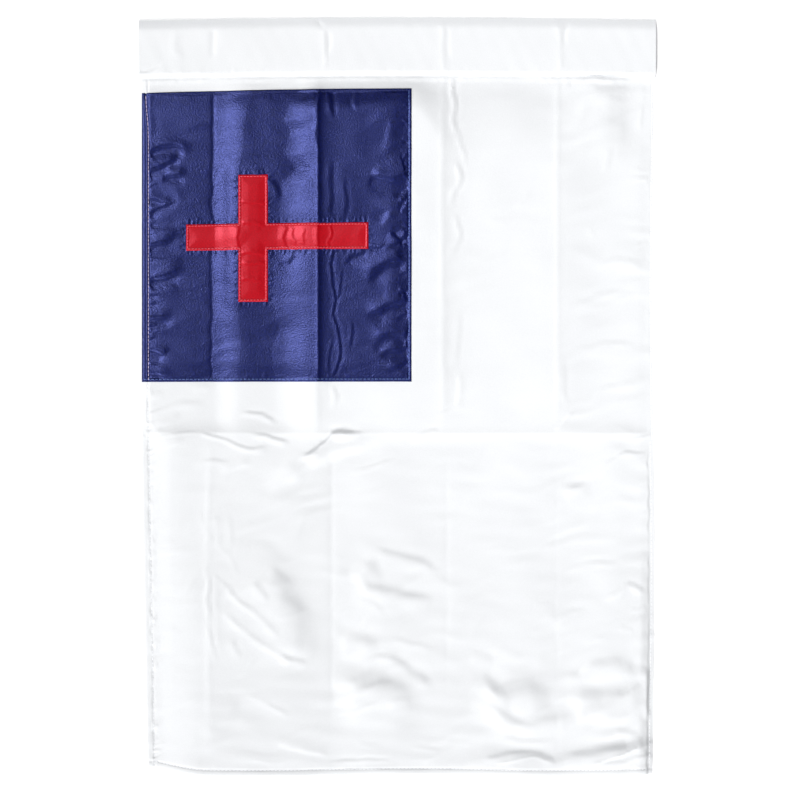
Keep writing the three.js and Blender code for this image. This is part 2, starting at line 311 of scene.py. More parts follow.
def relief(x, y):
    """Height of the field's underside over the floor, before its fine creases."""
    above = smooth((y - CROSS_FOLD_Y) / (2 * CROSS_FOLD["blend"]) + 0.5)
    soft = UPPER_SOFTENED
    softened = soft["share"] + (1 - soft["share"]) * smooth((y - soft["from"]) / soft["reach"])
    height = half_relief(x, y, "low") * (1 - above) + half_relief(x, y, "up") * above * softened
    lifted = smooth((LOWER_LIFT["below"] - y) / LOWER_LIFT["reach"])
    lifted_side = smooth((x - LEFT_X - LOWER_LIFT["inset"]) / LOWER_LIFT["side_reach"])
    height = height + LOWER_LIFT["height"] * lifted * lifted_side
    height = height * (HEM_SHARE + (1 - HEM_SHARE) * smooth((y - BOTTOM_Y) / HEM_REACH))
    height = height + CROSS_FOLD["height"] * np.exp(-np.abs(y - CROSS_FOLD_Y) / CROSS_FOLD["reach"])
    seam_reach = SEAM_REACH + SEAM_REACH_RIGHT * smooth((x - SEAM_SPREADS_AT) / 60)
    height = height * smooth((SEAM_Y + 6 - y) / seam_reach)
    left_reach = EDGE_REACH[0] + (EDGE_REACH[1] - EDGE_REACH[0]) * above
    height = height * smooth((x - LEFT_X) / left_reach) * smooth((RIGHT_X - x) / 20)
    return np.maximum(height, 0)


sample = np.linspace(LEFT_X, RIGHT_X, 8)
print("heights across the upper half:", np.round(relief(sample, np.full(8, 200.0)), 1))

# %% [markdown]
# ## Creases placed one by one
# Wrinkles could come from a cloth simulation, but these ones have to lie where the photograph
# shows them. So each is a short path over the flag with a height and a width. A `ridge` is
# raised, or sunk if its height is under zero, and a `sharp` one has a pointed top. A `streak`
# is high on the side of its lamp and falls away from it, so it shows as a dark stroke, or as a
# bright one if its height is under zero. Far from the path it levels out again.

# %% One crease
WINDOW_WIDTHS = 3.5


def soft_path(points, spacing=7):
    """A smooth line through given points, as an array of points."""
    points = np.array(points, float)
    ends = [2 * points[0] - points[1], 2 * points[-1] - points[-2]]
    p = np.vstack([ends[0], points, ends[1]])
    line = []
    for a, b, c, d in zip(p, p[1:], p[2:], p[3:]):
        count = max(2, int(np.hypot(*(c - b)) / spacing))
        t = np.linspace(0, 1, count, endpoint=False)[:, None]
        line.append(0.5 * (2 * b + (c - a) * t + (2 * a - 5 * b + 4 * c - d) * t ** 2
                           + (3 * b - a - 3 * c + d) * t ** 3))
    return np.vstack(line + [points[-1:]])


def add_crease(height, x, y, kind, size, width, points, start=0.2, end=0.2,
               lamp=SIDE_LAMP, raised=0.5):
    """Adds one crease to a height array. start and end are the shares that fade at each end."""
    line = soft_path(points)
    wide = np.broadcast_to(width, 2)
    reach = (WINDOW_WIDTHS + 0.1) * wide.max()
    low, high = line.min(axis=0) - reach, line.max(axis=0) + reach
    near = np.nonzero((x > low[0]) & (x < high[0]) & (y > low[1]) & (y < high[1]))[0]
    if not len(near):
        return
    px, py = x[near], y[near]
    best = np.full(len(near), 1e9)
    side = np.zeros(len(near))
    along = np.zeros(len(near))
    steps = np.hypot(*np.diff(line, axis=0).T)
    travelled = np.concatenate([[0], np.cumsum(steps)]) / steps.sum()
    for k in range(len(line) - 1):
        dx, dy = line[k + 1] - line[k]
        length = max(steps[k], 1e-6)
        share = np.clip(((px - line[k, 0]) * dx + (py - line[k, 1]) * dy) / length ** 2, 0, 1)
        ox, oy = px - line[k, 0] - share * dx, py - line[k, 1] - share * dy
        away = np.hypot(ox, oy)
        closer = away < best
        best = np.where(closer, away, best)
        side = np.where(closer, np.sign(dx * oy - dy * ox), side)
        along = np.where(closer, travelled[k] + (travelled[k + 1] - travelled[k]) * share, along)
    here = wide[0] + (wide[1] - wide[0]) * along
    fade = smooth(along / max(start, 1e-3)) * smooth((1 - along) / max(end, 1e-3))
    far = best / here
    run_x, run_y = line[-1] - line[0]
    lit_side = 1 if lamp[1] * run_x - lamp[0] * run_y > 0 else -1
    if kind == "ridge":
        shape = np.exp(-(far ** 2))
    elif kind == "sharp":
        shape = np.exp(-far)
    else:
        window = (1 - np.clip(far / WINDOW_WIDTHS, 0, 1) ** 2) ** 2
        shape = (lit_side * side * 2 * far / (1 + far ** 2) + raised * np.sign(size)) * window
    height[near] += size * fade * shape


print("a path through three points has", len(soft_path([(0, 0), (20, 5), (40, 0)])), "points")

# %% [markdown]
# ## Puckers along a seam
# A sewing machine draws the cloth in a little, so every seam has a row of short creases that
# run away from it. There are too many to place by hand and their exact places don't matter.
# A seeded random generator spaces them, and gives the same row each time.

# %% Rows of puckers
def add_puckers(height, x, y, seed, start, finish, inward, pitch, length, size, width, slant,
                kind="ridge"):
    """Rows of small creases that run inward from a seam between start and finish."""
    random = np.random.default_rng(seed)
    seam = np.array(finish, float) - np.array(start, float)
    span = np.hypot(*seam)
    seam = seam / span
    inward = np.array(inward, float)
    travelled = random.uniform(0.2, 1) * pitch
    while travelled < span:
        root = np.array(start) + seam * travelled
        reach = length * random.uniform(0.35, 1.0)
        lean = seam * reach * (slant + random.uniform(-0.35, 0.35))
        tip = root + inward * reach + lean
        middle = (root + tip) / 2 + seam * random.uniform(-0.12, 0.12) * reach
        strength = size * random.uniform(0.35, 1.0)
        if random.random() >= 0.5 and kind != "streak":
            strength = -strength
        thick = width * random.uniform(0.7, 1.2)
        lamp = SHEEN_LAMP if kind == "streak" else SIDE_LAMP
        path = [root, middle, tip]
        add_crease(height, x, y, kind, strength, (thick * 0.7, thick), path, 0.02, 0.8, lamp, 0)
        travelled += pitch * random.uniform(0.5, 1.5)


trial_height = np.zeros(3)
add_puckers(trial_height, np.array([5.0, 9.0, 14.0]), np.full(3, 4.0), 1, (0, 0), (20, 0), (0, 1),
            4, 12, 1.0, 2.0, 0)
print("three points over a puckered seam:", np.round(trial_height, 2))

# %% [markdown]
# ## Unevenness of the whole cloth
# No panel of a real flag is flat. Slow waves in random directions make it swell softly, and
# sharper ones that run mostly one way make it look handled. The third helper shifts places a
# little, so that creases don't look drawn with a pen.

# %% Ripples and crumple
def ripples(x, y, seed, wavelength, size, count=9):
    """Soft uneven swelling: a sum of slow waves in random directions."""
    random = np.random.default_rng(seed)
    total = np.zeros_like(x)
    for turn in random.uniform(0, 2 * np.pi, count):
        number = 2 * np.pi / (wavelength * random.uniform(0.7, 1.5))
        phase = random.uniform(0, 2 * np.pi)
        total += np.sin((x * np.cos(turn) + y * np.sin(turn)) * number + phase)
    return size * total / math.sqrt(count)


def crumple(x, y, seed, wavelength, size, lean_degrees, count=5):
    """Faint sharp-topped waves that run mostly one way and come and go in patches."""
    random = np.random.default_rng(seed)
    total = np.zeros_like(x)
    bent_x, bent_y = x + ripples(x, y, seed + 1, 90, 9), y + ripples(x, y, seed + 2, 90, 9)
    for number in range(count):
        turn = math.radians(lean_degrees + 90 + random.uniform(-22, 22))
        length = wavelength * random.uniform(0.7, 1.5)
        wave = np.abs(np.sin((bent_x * math.cos(turn) + bent_y * math.sin(turn)) * math.pi / length
                             + random.uniform(0, math.pi)))
        patch = smooth(0.5 + ripples(x, y, seed + 10 + number, 170, 0.7))
        total += (0.64 - wave) * patch
    return size * total


def wobbled(x, y):
    """Shifts points a little, so that creases don't look drawn with a pen."""
    shift_x = ripples(x, y, 61, 30, 1.0) + ripples(x, y, 62, 9, 0.3)
    shift_y = ripples(x, y, 63, 30, 1.0) + ripples(x, y, 64, 9, 0.3)
    return x + shift_x, y + shift_y


print("ripples at three points:", np.round(ripples(sample[:3], sample[:3], 8, 110, 0.4), 2))

# %% [markdown]
# ## Sheets from a grid
# Every flat piece of this flag is a sheet on the same grid. The front has fine cells, because
# creases are only a few millimetres wide, and the lines stand closer near the seams. Two
# helpers lay out those lines, and a third turns points and faces into an object.

# %% Grid lines and new pieces
def stations(stops):
    """Grid lines between stops of (place, step after it)."""
    lines = []
    for (place, step), (next_place, _) in zip(stops, stops[1:]):
        count = max(1, round(abs(next_place - place) / step))
        lines.extend(np.linspace(place, next_place, count, endpoint=False))
    return np.array(lines + [stops[-1][0]])


def refined(lines, split):
    parts = [np.linspace(a, b, split, endpoint=False) for a, b in zip(lines, lines[1:])]
    return np.concatenate(parts + [lines[-1:]])


def new_piece(name, points, faces, sharp_degrees=40):
    """A mesh object from points in millimetres."""
    mesh = bpy.data.meshes.new(name)
    mesh.from_pydata((np.asarray(points) * MM).tolist(), [], faces)
    mesh.validate()
    mesh.shade_smooth()
    mesh.set_sharp_from_angle(angle=math.radians(sharp_degrees))
    piece = bpy.data.objects.new(name, mesh)
    bpy.context.scene.collection.objects.link(piece)
    return piece


print("grid lines between 0 and 12 mm:", stations([(0, 4), (12, 0)]))

# %% [markdown]
# ## A closed sheet
# Cloth could be a single surface with a Solidify modifier, but here the front and the back
# differ: the fine creases are mostly on the front. The back is seen less, so one back cell
# spans several front cells, and side walls join the two. `covers` picks the cells, which is how
# the cross gets its shape.

# %% One function for all flat cloths
def sheet_piece(name, xs, ys, split, front, back, covers=None):
    """A closed sheet. front and back give real x, y and height for arrays of grid points."""
    fine_x, fine_y = refined(xs, split), refined(ys, split)
    many = len(fine_y)
    grid_x, grid_y = np.meshgrid(fine_x, fine_y, indexing="ij")
    coarse_x, coarse_y = np.meshgrid(xs, ys, indexing="ij")
    front_points = np.stack(front(grid_x.ravel(), grid_y.ravel()), axis=1)
    back_points = np.stack(back(coarse_x.ravel(), coarse_y.ravel()), axis=1)
    offset, few = len(front_points), len(ys)
    middle_x, middle_y = np.meshgrid((xs[1:] + xs[:-1]) / 2, (ys[1:] + ys[:-1]) / 2, indexing="ij")
    filled = np.ones(middle_x.shape, bool) if covers is None else covers(middle_x, middle_y)
    fine_filled = np.repeat(np.repeat(filled, split, axis=0), split, axis=1)
    i, j = np.nonzero(fine_filled)
    corner = i * many + j
    faces = np.stack([corner, corner + many, corner + many + 1, corner + 1], axis=1).tolist()
    i, j = np.nonzero(filled)
    corner = offset + i * few + j
    faces += np.stack([corner, corner + 1, corner + few + 1, corner + few], axis=1).tolist()
    padded = np.pad(filled, 1)
    for column, row in zip(i, j):
        turns = [(0, -1), (1, 0), (0, 1), (-1, 0)]
        corners = [(column, row), (column + 1, row), (column + 1, row + 1), (column, row + 1)]
        for edge, (step_x, step_y) in enumerate(turns):
            if padded[column + 1 + step_x, row + 1 + step_y]:
                continue
            (ai, aj), (bi, bj) = corners[edge], corners[(edge + 1) % 4]
            rim = []
            for k in range(split + 1):
                rim_i = ai * split + (bi - ai) * k
                rim_j = aj * split + (bj - aj) * k
                rim.append(int(rim_i * many + rim_j))
            faces.append([int(offset + ai * few + aj), int(offset + bi * few + bj)] + rim[::-1])
    used = sorted(set(index for face in faces for index in face))
    renumber = np.full(offset + len(back_points), -1)
    renumber[used] = np.arange(len(used))
    points = np.vstack([front_points, back_points])[used]
    faces = [[int(renumber[index]) for index in face] for face in faces]
    piece = new_piece(name, points, faces)
    triangles = sum(len(face) - 2 for face in faces)
    print(name, "has", len(points), "points and", triangles, "triangles")
    return piece


print("three grid lines split in two:", refined(np.array([0, 4, 8]), 2))

# %% [markdown]
# ## The white field
# The field is one cloth from the sleeve to the bottom hem. Its long folds are sharp ridges and
# valleys, and its other creases are streaks, most of them in the lower half, where the flag
# was crushed. Their places are read off the photo, with the flag's middle as zero. Their
# heights are chosen until the render has the same greys.

# %% Creases of the field
FIELD_THICK = 0.6
FIELD_CREASES = [
    # kind, height, width, path, shares that fade
    ("sharp", 0.5, 3, [(-106, 425), (-107, 300), (-106, 120), (-96, -20)], 0.05, 0.1),
    ("sharp", 0.6, 3.2, [(64, 434), (61, 300), (62, 150), (64, -40)], 0.02, 0.1),
    ("sharp", 0.6, 3.0, [(219, 434), (217, 300), (218, 120), (218, -46)], 0.02, 0.1),
    ("sharp", 0.5, 3.0, [(-252, -60), (-257, -200), (-256, -330), (-252, -500)], 0.1, 0.3),
    ("sharp", -0.5, 2.4, [(-90, -70), (-89, -200), (-88, -330), (-88, -450)], 0.05, 0.2),
    ("sharp", -0.35, 2.4, [(68, -70), (68, -250), (67, -440)], 0.1, 0.3),
    ("sharp", -0.35, 1.8, [(217, -70), (216, -250), (217, -400), (217, -506)], 0.1, 0.02),
    # the long crease across, and what runs off it
    ("streak", 0.3, 1.4, [(-348, -54), (-325, -55), (-311, -51), (-268, -49)], 0.02, 0.2),
    ("streak", 0.7, (1.6, 4), [(-268, -49), (-246, -54), (-224, -62), (-208, -69), (-176, -69)],
     0.1, 0.12),
    ("streak", 0.65, 3.2, [(-216, -26), (-200, -21), (-181, -26), (-157, -36)], 0.3, 0.3),
    ("streak", 0.85, 3.4, [(-201, -49), (-175, -54), (-145, -63)], 0.3, 0.2),
    ("streak", 2.2, 4.4, [(-130, -86), (-112, -74), (-98, -60), (-88, -51), (-66, -48), (-44, -48)],
     0.15, 0.3),
    ("streak", -1.9, (13, 10), [(-176, -140), (-140, -112), (-108, -90), (-72, -78), (-10, -60)], 0.3, 0.3),
    ("streak", 0.5, 2.6, [(-66, -104), (-34, -95), (-1, -83)], 0.3, 0.4),
    ("streak", 0.6, 3.0, [(-88, 16), (-80, -2), (-88, -15)], 0.2, 0.2),
    ("streak", 0.5, 4, [(-346, -27), (-311, -13), (-287, -8), (-256, -9)], 0.2, 0.3),
    ("streak", 0.35, 3, [(-341, 2), (-315, 7)], 0.2, 0.3),
    ("streak", 0.35, 2.6, [(-278, 11), (-248, 15)], 0.3, 0.3),
    ("streak", 0.5, 4.5, [(-280, -96), (-260, -88), (-220, -86)], 0.3, 0.4),
    ("streak", -0.8, 7, [(-332, -82), (-300, -66), (-284, -58)], 0.3, 0.3),
    ("streak", -0.6, 6, [(-238, -108), (-216, -98), (-196, -92)], 0.3, 0.3),
    ("streak", -0.5, 5, [(-330, -44), (-306, -36), (-290, -26)], 0.3, 0.3),
    # right of the canton
    ("streak", 1.0, (2.2, 2.8), [(78, 433), (79, 403), (79, 376), (82, 353)], 0.05, 0.2),
    ("streak", 0.5, 2.0, [(80, 366), (86, 345), (94, 326), (94, 312)], 0.3, 0.2),
    ("streak", 1.0, (2, 3), [(82, 322), (87, 294), (79, 274), (72, 254)], 0.2, 0.3),
    ("streak", 0.5, 3.0, [(79, 251), (87, 222), (83, 204), (62, 176)], 0.2, 0.3),
    ("streak", 0.4, 6, [(66, 152), (90, 164), (113, 180), (140, 196), (162, 202)], 0.3, 0.4),
    ("streak", 0.2, 4, [(120, 241), (151, 242)], 0.3, 0.3),
    ("streak", 0.25, 5, [(156, 256), (181, 283)], 0.3, 0.3),
    ("streak", 0.35, 3.4, [(88, 120), (84, 84), (79, 36)], 0.3, 0.2),
    ("streak", 0.45, 3.4, [(79, 36), (83, 8), (78, -13), (50, -27)], 0.2, 0.3),
    ("streak", 0.4, 4, [(230, 60), (227, 14), (235, -14)], 0.3, 0.2),
    ("streak", 0.6, 2.2, [(214, -44), (226, -34), (237, -19)], 0.15, 0.2),
    ("streak", 0.5, 5, [(244, -14), (257, -5), (290, 14), (332, 17)], 0.3, 0.3),
    ("streak", 0.55, 3, [(18, -67), (34, -49), (58, -46)], 0.3, 0.2),
    ("streak", 0.45, 2, [(236, 437), (230, 412)], 0.1, 0.4),
    ("streak", 0.5, 4, [(335, 402), (335, 358)], 0.3, 0.3),
    ("streak", 0.4, 1.6, [(312, 310), (341, 309)], 0.4, 0.1),
    ("streak", 0.5, 1.8, [(312, 297), (341, 297)], 0.4, 0.1),
    ("streak", 0.4, 1.8, [(319, 204), (341, 210)], 0.4, 0.1),
    ("streak", 0.3, 2, [(262, 232), (271, 214)], 0.3, 0.3),
    ("streak", 0.3, 4, [(292, 338), (286, 306)], 0.3, 0.3),
    ("streak", 0.6, 9, [(246, 424), (290, 420), (344, 421)], 0.3, 0.1),
    ("streak", 0.4, 4, [(240, 60), (280, 72), (330, 74)], 0.3, 0.3),
    ("streak", 0.4, 5, [(236, 118), (272, 138), (322, 146)], 0.3, 0.3),
    ("streak", 0.35, 4, [(262, 176), (296, 186), (336, 182)], 0.3, 0.2),
    # pleats and a fan of creases at the lower left
    ("sharp", 0.35, 1.8, [(-271, -150), (-265, -171), (-249, -203)], 0.2, 0.2),
    ("sharp", 0.45, 1.8, [(-247, -152), (-243, -196), (-230, -217), (-214, -249)], 0.2, 0.2),
    ("streak", 0.25, 3, [(-227, -160), (-222, -206)], 0.3, 0.3),
    ("streak", 0.45, 2.0, [(-254, -240), (-254, -277), (-254, -306)], 0.2, 0.2),
    ("streak", 0.55, 1.8, [(-254, -312), (-249, -340), (-245, -361)], 0.2, 0.2),
    ("sharp", 0.5, 2.6, [(-246, -240), (-245, -277), (-243, -330), (-238, -360)], 0.2, 0.3),
    ("streak", 0.4, 1.8, [(-250, -240), (-230, -258), (-219, -273), (-192, -290)], 0.1, 0.2),
    ("sharp", 1.1, (2.4, 3.4), [(-236, -262), (-203, -288), (-180, -308), (-158, -330)], 0.15, 0.15),
    ("sharp", 1.3, (3, 4), [(-240, -290), (-205, -322), (-175, -343), (-140, -362)], 0.2, 0.1),
    ("streak", 0.7, 3.4, [(-160, -350), (-143, -357), (-118, -361)], 0.2, 0.3),
    ("streak", 0.4, 4, [(-226, -328), (-208, -355)], 0.3, 0.3),
    ("streak", 0.45, 2.2, [(-216, -380), (-192, -357)], 0.3, 0.3),
    ("sharp", 0.5, 2.2, [(-208, -402), (-188, -412), (-170, -421)], 0.2, 0.2),
    ("streak", 0.5, 2.6, [(-178, -416), (-159, -424), (-142, -433)], 0.2, 0.3),
    ("streak", 0.4, 7, [(-172, -230), (-156, -244), (-140, -262)], 0.25, 0.3),
    ("streak", 0.5, 5, [(-194, -250), (-172, -277)], 0.3, 0.3),
    ("streak", 2.2, 30, [(-172, -215), (-148, -262), (-128, -320), (-120, -362)], 0.3, 0.2),
    ("streak", 0.7, 14, [(-168, -262), (-140, -280), (-112, -300)], 0.3, 0.3),
    ("streak", 0.35, 2.4, [(-336, -212), (-309, -208), (-284, -206)], 0.05, 0.3),
    ("streak", 0.3, 3, [(-336, -170), (-312, -166)], 0.05, 0.4),
    ("streak", 0.35, 4, [(-336, -258), (-306, -252), (-290, -254)], 0.05, 0.4),
    ("streak", 0.3, 5, [(-334, -318), (-304, -312), (-288, -318)], 0.05, 0.4),
    ("streak", -0.6, 14, [(-262, -470), (-230, -440), (-205, -430)], 0.3, 0.3),
    ("streak", -0.5, 6, [(-175, -468), (-130, -482), (-92, -490)], 0.3, 0.2),
    # dark hollows of the lower middle
    ("streak", 0.8, (8, 6), [(-40, -206), (-28, -208), (10, -216), (66, -237)], 0.25, 0.25),
    ("streak", 1.5, 13, [(-66, -250), (-50, -232), (-30, -218)], 0.3, 0.35),
    ("streak", 1.2, (10, 8), [(-62, -250), (-34, -258), (-4, -266), (54, -274)], 0.25, 0.25),
    ("streak", 0.3, 2.4, [(-81, -292), (-60, -285)], 0.3, 0.3),
    ("streak", 2.9, 24, [(-88, -388), (-50, -384), (-10, -388), (40, -394)], 0.25, 0.35),
    ("streak", 1.3, 12, [(-84, -330), (-56, -326), (-20, -334)], 0.25, 0.35),
    ("streak", 0.5, 4, [(-50, -366), (-26, -352), (2, -359)], 0.3, 0.3),
    ("streak", 0.6, (4, 6), [(-90, -412), (-50, -397), (-15, -386), (6, -392)], 0.2, 0.3),
    ("streak", 0.5, 3, [(-90, -429), (-58, -424), (-24, -412)], 0.15, 0.3),
    ("streak", 0.4, 3.6, [(-12, -326), (31, -337), (58, -343)], 0.3, 0.3),
    ("streak", 0.9, 8, [(-20, -344), (20, -372), (55, -398)], 0.25, 0.25),
    ("streak", 0.45, 5, [(-16, -410), (24, -410)], 0.3, 0.3),
    ("streak", 0.3, 4, [(-64, -268), (-30, -282), (-12, -300)], 0.3, 0.3),
    ("streak", 0.3, 3, [(18, -474), (64, -480)], 0.3, 0.3),
    ("streak", 0.3, 3, [(-60, -470), (-20, -474)], 0.3, 0.3),
    # the right side of the lower half
    ("streak", 0.5, (5, 2.4), [(222, -125), (246, -121), (262, -108), (290, -87), (311, -77), (341, -76)],
     0.15, 0.1),
    ("streak", 0.7, 8, [(222, -128), (240, -122), (258, -114)], 0.3, 0.4),
    ("streak", 0.4, 2, [(315, -59), (349, -51)], 0.3, 0.1),
    ("streak", 0.35, 4, [(190, -207), (235, -193), (264, -186)], 0.3, 0.3),
    ("streak", 0.4, 3.4, [(218, -240), (252, -228), (279, -225), (308, -229)], 0.3, 0.3),
    ("streak", 0.8, 3.2, [(277, -276), (301, -264), (315, -254), (337, -264)], 0.3, 0.1),
    ("streak", 0.4, 2, [(315, -289), (339, -287)], 0.3, 0.05),
    ("streak", 0.3, 3, [(300, -311), (324, -319)], 0.3, 0.3),
    ("streak", 0.45, 3.4, [(212, -303), (235, -292), (256, -288)], 0.3, 0.3),
    ("streak", 0.3, 3, [(250, -335), (284, -322)], 0.3, 0.3),
    ("streak", 0.25, 4, [(184, -281), (212, -281)], 0.3, 0.3),
    ("streak", 0.25, 4, [(179, -319), (210, -309)], 0.3, 0.3),
    ("streak", 1.5, (8, 14), [(218, -388), (246, -374), (262, -364), (284, -359), (314, -365), (328, -388)],
     0.2, 0.2),
    ("streak", 1.1, 11, [(111, -376), (126, -388), (138, -402), (160, -410)], 0.25, 0.25),
    ("streak", 2.8, 22, [(104, -404), (136, -396), (170, -392), (208, -386)], 0.3, 0.3),
    ("streak", 0.6, 8, [(98, -348), (116, -352), (134, -362)], 0.3, 0.3),
    ("streak", 1.2, (10, 7), [(100, -408), (126, -418), (148, -432), (165, -442), (199, -446)], 0.2, 0.25),
    ("sharp", 0.9, 2.6, [(170, -442), (197, -427), (218, -412), (240, -398)], 0.15, 0.3),
    ("streak", 2.2, 16, [(222, -408), (246, -402), (276, -405), (303, -401), (336, -394)], 0.3, 0.2),
    ("sharp", 1.0, 2.0, [(290, -413), (318, -400), (350, -383)], 0.4, 0.02),
    ("streak", 1.2, 10, [(160, -436), (208, -437), (235, -432), (266, -421), (310, -411)], 0.2, 0.3),
    ("sharp", 0.7, 2.0, [(230, -449), (257, -435), (280, -428)], 0.2, 0.3),
    ("streak", 0.6, 5, [(293, -450), (332, -460)], 0.3, 0.3),
    ("streak", 0.45, 3, [(138, -461), (181, -468), (216, -465)], 0.3, 0.3),
    ("streak", 0.25, 3, [(54, -466), (112, -469)], 0.3, 0.3),
    ("streak", 0.6, 5, [(105, -498), (132, -487), (181, -482), (208, -489), (221, -504)], 0.2, 0.2),
    ("sharp", 0.9, 1.8, [(130, -498), (160, -494), (192, -490), (216, -501)], 0.2, 0.2),
    ("streak", 0.6, 6, [(220, -504), (249, -482), (290, -476), (346, -467)], 0.15, 0.05),
    ("sharp", 1.7, 2.2, [(252, -505), (300, -488), (339, -473), (351, -467)], 0.2, 0.02),
    ("streak", 0.7, 4, [(272, -501), (311, -493), (346, -484)], 0.2, 0.05),
    ("streak", 0.5, 3, [(-100, -497), (-40, -492), (0, -497)], 0.3, 0.3),
    ("streak", 1.7, 15, [(60, -492), (130, -487), (200, -490), (260, -486), (344, -470)], 0.3, 0.05),
    ("streak", 0.9, 10, [(230, -484), (290, -478), (346, -462)], 0.3, 0.05),
    ("streak", 2.0, 28, [(302, 440), (303, 380), (300, 300)], 0.05, 0.5),
    ("streak", 1.7, 4.0, [(341, -366), (341, -390), (342, -420), (345, -440)], 0.2, 0.2),
]
print(len(FIELD_CREASES), "creases on the field")

# %% [markdown]
# ## Hems of the field
# The sides and the bottom of the field are turned back and stitched. Each hem leaves a slightly
# raised strip, a stitch groove beside it and a row of small puckers. At the lower right the
# panel stands higher than its hem, and the step between them shows as a dark line. Profiles
# across the hem make all this, because no separate strip of cloth can be seen.

# %% Hem profiles and seam puckers
LEFT_HEM = {"width": 8.4, "rise": 0.35, "groove_at": 9.2, "groove": 0.5}
BOTTOM_HEM = {"width": 6.0, "rise": 0.4, "groove_at": 7.2, "groove": 0.7, "groove_width": 1.5}
RIGHT_HEM = {"width": 6.0, "step": 3.2, "drop": 0.85, "more": 0.75, "more_below": -370}
FIELD_PUCKERS = [
    # seed, start, finish, inward, pitch, length, height, width, slant
    (3, (-348, 434), (348, 436), (0, -1), 13, 13, 0.6, 2.2, -0.5),
    (4, (-340, 12), (-332, -500), (1, 0), 4.2, 14, 1.0, 1.7, -0.5),
    (14, (-340, 12), (-332, -500), (1, 0), 22, 40, 0.6, 3.2, -0.3),
    (5, (341, -70), (341, -490), (-1, 0), 16, 26, 0.4, 2.4, 0.2),
    (6, (344, 420), (343, 120), (-1, 0), 20, 22, 0.35, 2.2, 0.1),
    (7, (-300, -506), (340, -506), (0, 1), 15, 14, 0.4, 2.2, 0.4),
]


def strip(distance, width, rise, groove_at, groove, groove_width=1.3):
    """Profile of a turned hem at a distance from its edge: a raised strip, then a groove."""
    raised = rise * smooth(distance / 1.6) * (1 - smooth((distance - width) / 1.8))
    return raised - groove * np.exp(-(((distance - groove_at) / groove_width) ** 2))


def right_hem(right, y, real_x, real_y):
    """Step down to the right hem below the cross fold, and its stitch groove above it."""
    lower = smooth((-60 - y) / 30)
    uneven = 1 + ripples(real_x * 0.2, real_y, 93, 22, 0.4)
    wander = ripples(real_x * 0.2, real_y, 95, 20, 0.7)
    step = smooth((right - RIGHT_HEM["width"] - wander) / RIGHT_HEM["step"])
    drop = RIGHT_HEM["drop"] + RIGHT_HEM["more"] * smooth((RIGHT_HEM["more_below"] - y) / 30)
    return (drop * lower * uneven * step * (1 - 0.6 * smooth((right - 10) / 30)),
            0.4 * (1 - lower) * np.exp(-(((right - 2.2) / 1.0) ** 2)))


def field_creases(x, y, real_x, real_y):
    """Fine creases of the field at real places. x and y are the same points on the grid."""
    height = np.zeros_like(real_x)
    bent_x, bent_y = wobbled(real_x, real_y)
    for kind, size, width, points, start, end in FIELD_CREASES:
        add_crease(height, bent_x, bent_y, kind, size, width, points, start, end)
    for row in FIELD_PUCKERS:
        add_puckers(height, bent_x, bent_y, *row)
    height += ripples(real_x, real_y, 8, 110, 0.4) + ripples(real_x, real_y, 9, 34, 0.05)
    lower_half = smooth((-40 - real_y) / 120)
    right_panel = smooth((real_x - 190) / 60)
    crushed = np.maximum(0.3 + 0.5 * lower_half, right_panel)
    height += crumple(real_x, real_y, 71, 30, 0.36, 20) * crushed
    height += crumple(real_x, real_y, 73, 15, 0.08, 28) * (0.4 + 0.6 * lower_half)
    height += strip(x - LEFT_X, **LEFT_HEM)
    raised, groove = right_hem(RIGHT_X - x, y, real_x, real_y)
    height += raised
    height -= groove
    height += strip(y - BOTTOM_Y, **BOTTOM_HEM)
    from_seam = SEAM_Y - y
    bunch = 1 + ripples(real_x, real_y * 0.2, 94, 15, 0.4)
    height += 0.5 * bunch * smooth((from_seam - 3.4) / 2.2) * (1 - smooth((from_seam - 5) / 9))
    return height


print("left hem profile at 0, 4 and 9 mm:", np.round(strip(np.array([0, 4, 9.2]), **LEFT_HEM), 2))

# %% [markdown]
# ## Lay the field
# The front of the field is the height of the cloth with its creases on it. Under the canton it
# is kept thinner and free of creases, so that it never comes through the blue. A soft floor
# keeps hollows from being cut off flat, and the back always stays below the front.

# %% Make the field
UNDER_CANTON_DIP = 0.35
SOFT_FLOOR, SOFTNESS = 0.2, 0.3


def canton_inside(x, y):
    """Distance from the nearest edge of the canton, on the grid."""
    inside_x = np.minimum(x - CANTON["left"], CANTON["right"] - x)
    return np.minimum(inside_x, np.minimum(y - CANTON["bottom"], CANTON["top"] - y))


def under_canton(x, y):
    """1 well inside the canton's edges and 0 outside them."""
    return smooth((canton_inside(x, y) - 1.5) / 5)


def field_front(x, y):
    real_x, real_y = placed(x, y)
    hidden = under_canton(x, y)
    fine = field_creases(x, y, real_x, real_y)
    beside = smooth((canton_inside(x, y) + 8) / 8)
    fine = np.where(fine > 0.4, 0.4 + (fine - 0.4) * (1 - beside), fine)
    top = relief(x, y) + FIELD_THICK + fine * (1 - hidden) - UNDER_CANTON_DIP * hidden
    return real_x, real_y, SOFT_FLOOR + SOFTNESS * np.logaddexp(0, (top - SOFT_FLOOR) / SOFTNESS)


def field_back(x, y):
    real_x, real_y, top = field_front(x, y)
    return real_x, real_y, np.clip(np.minimum(relief(x, y) - 0.3, top - FIELD_THICK), 0, None)


FIELD_X = stations([(LEFT_X, 4), (-324, 10.2), (300, 6), (334, 3.6), (RIGHT_X, 0)])
FIELD_Y = stations([(BOTTOM_Y, 4.5), (-478, 10), (-96, 6), (-18, 10.2), (404, 5), (SEAM_Y + 1, 0)])
field_cloth = sheet_piece("field_cloth", FIELD_X, FIELD_Y, 3, field_front, field_back)

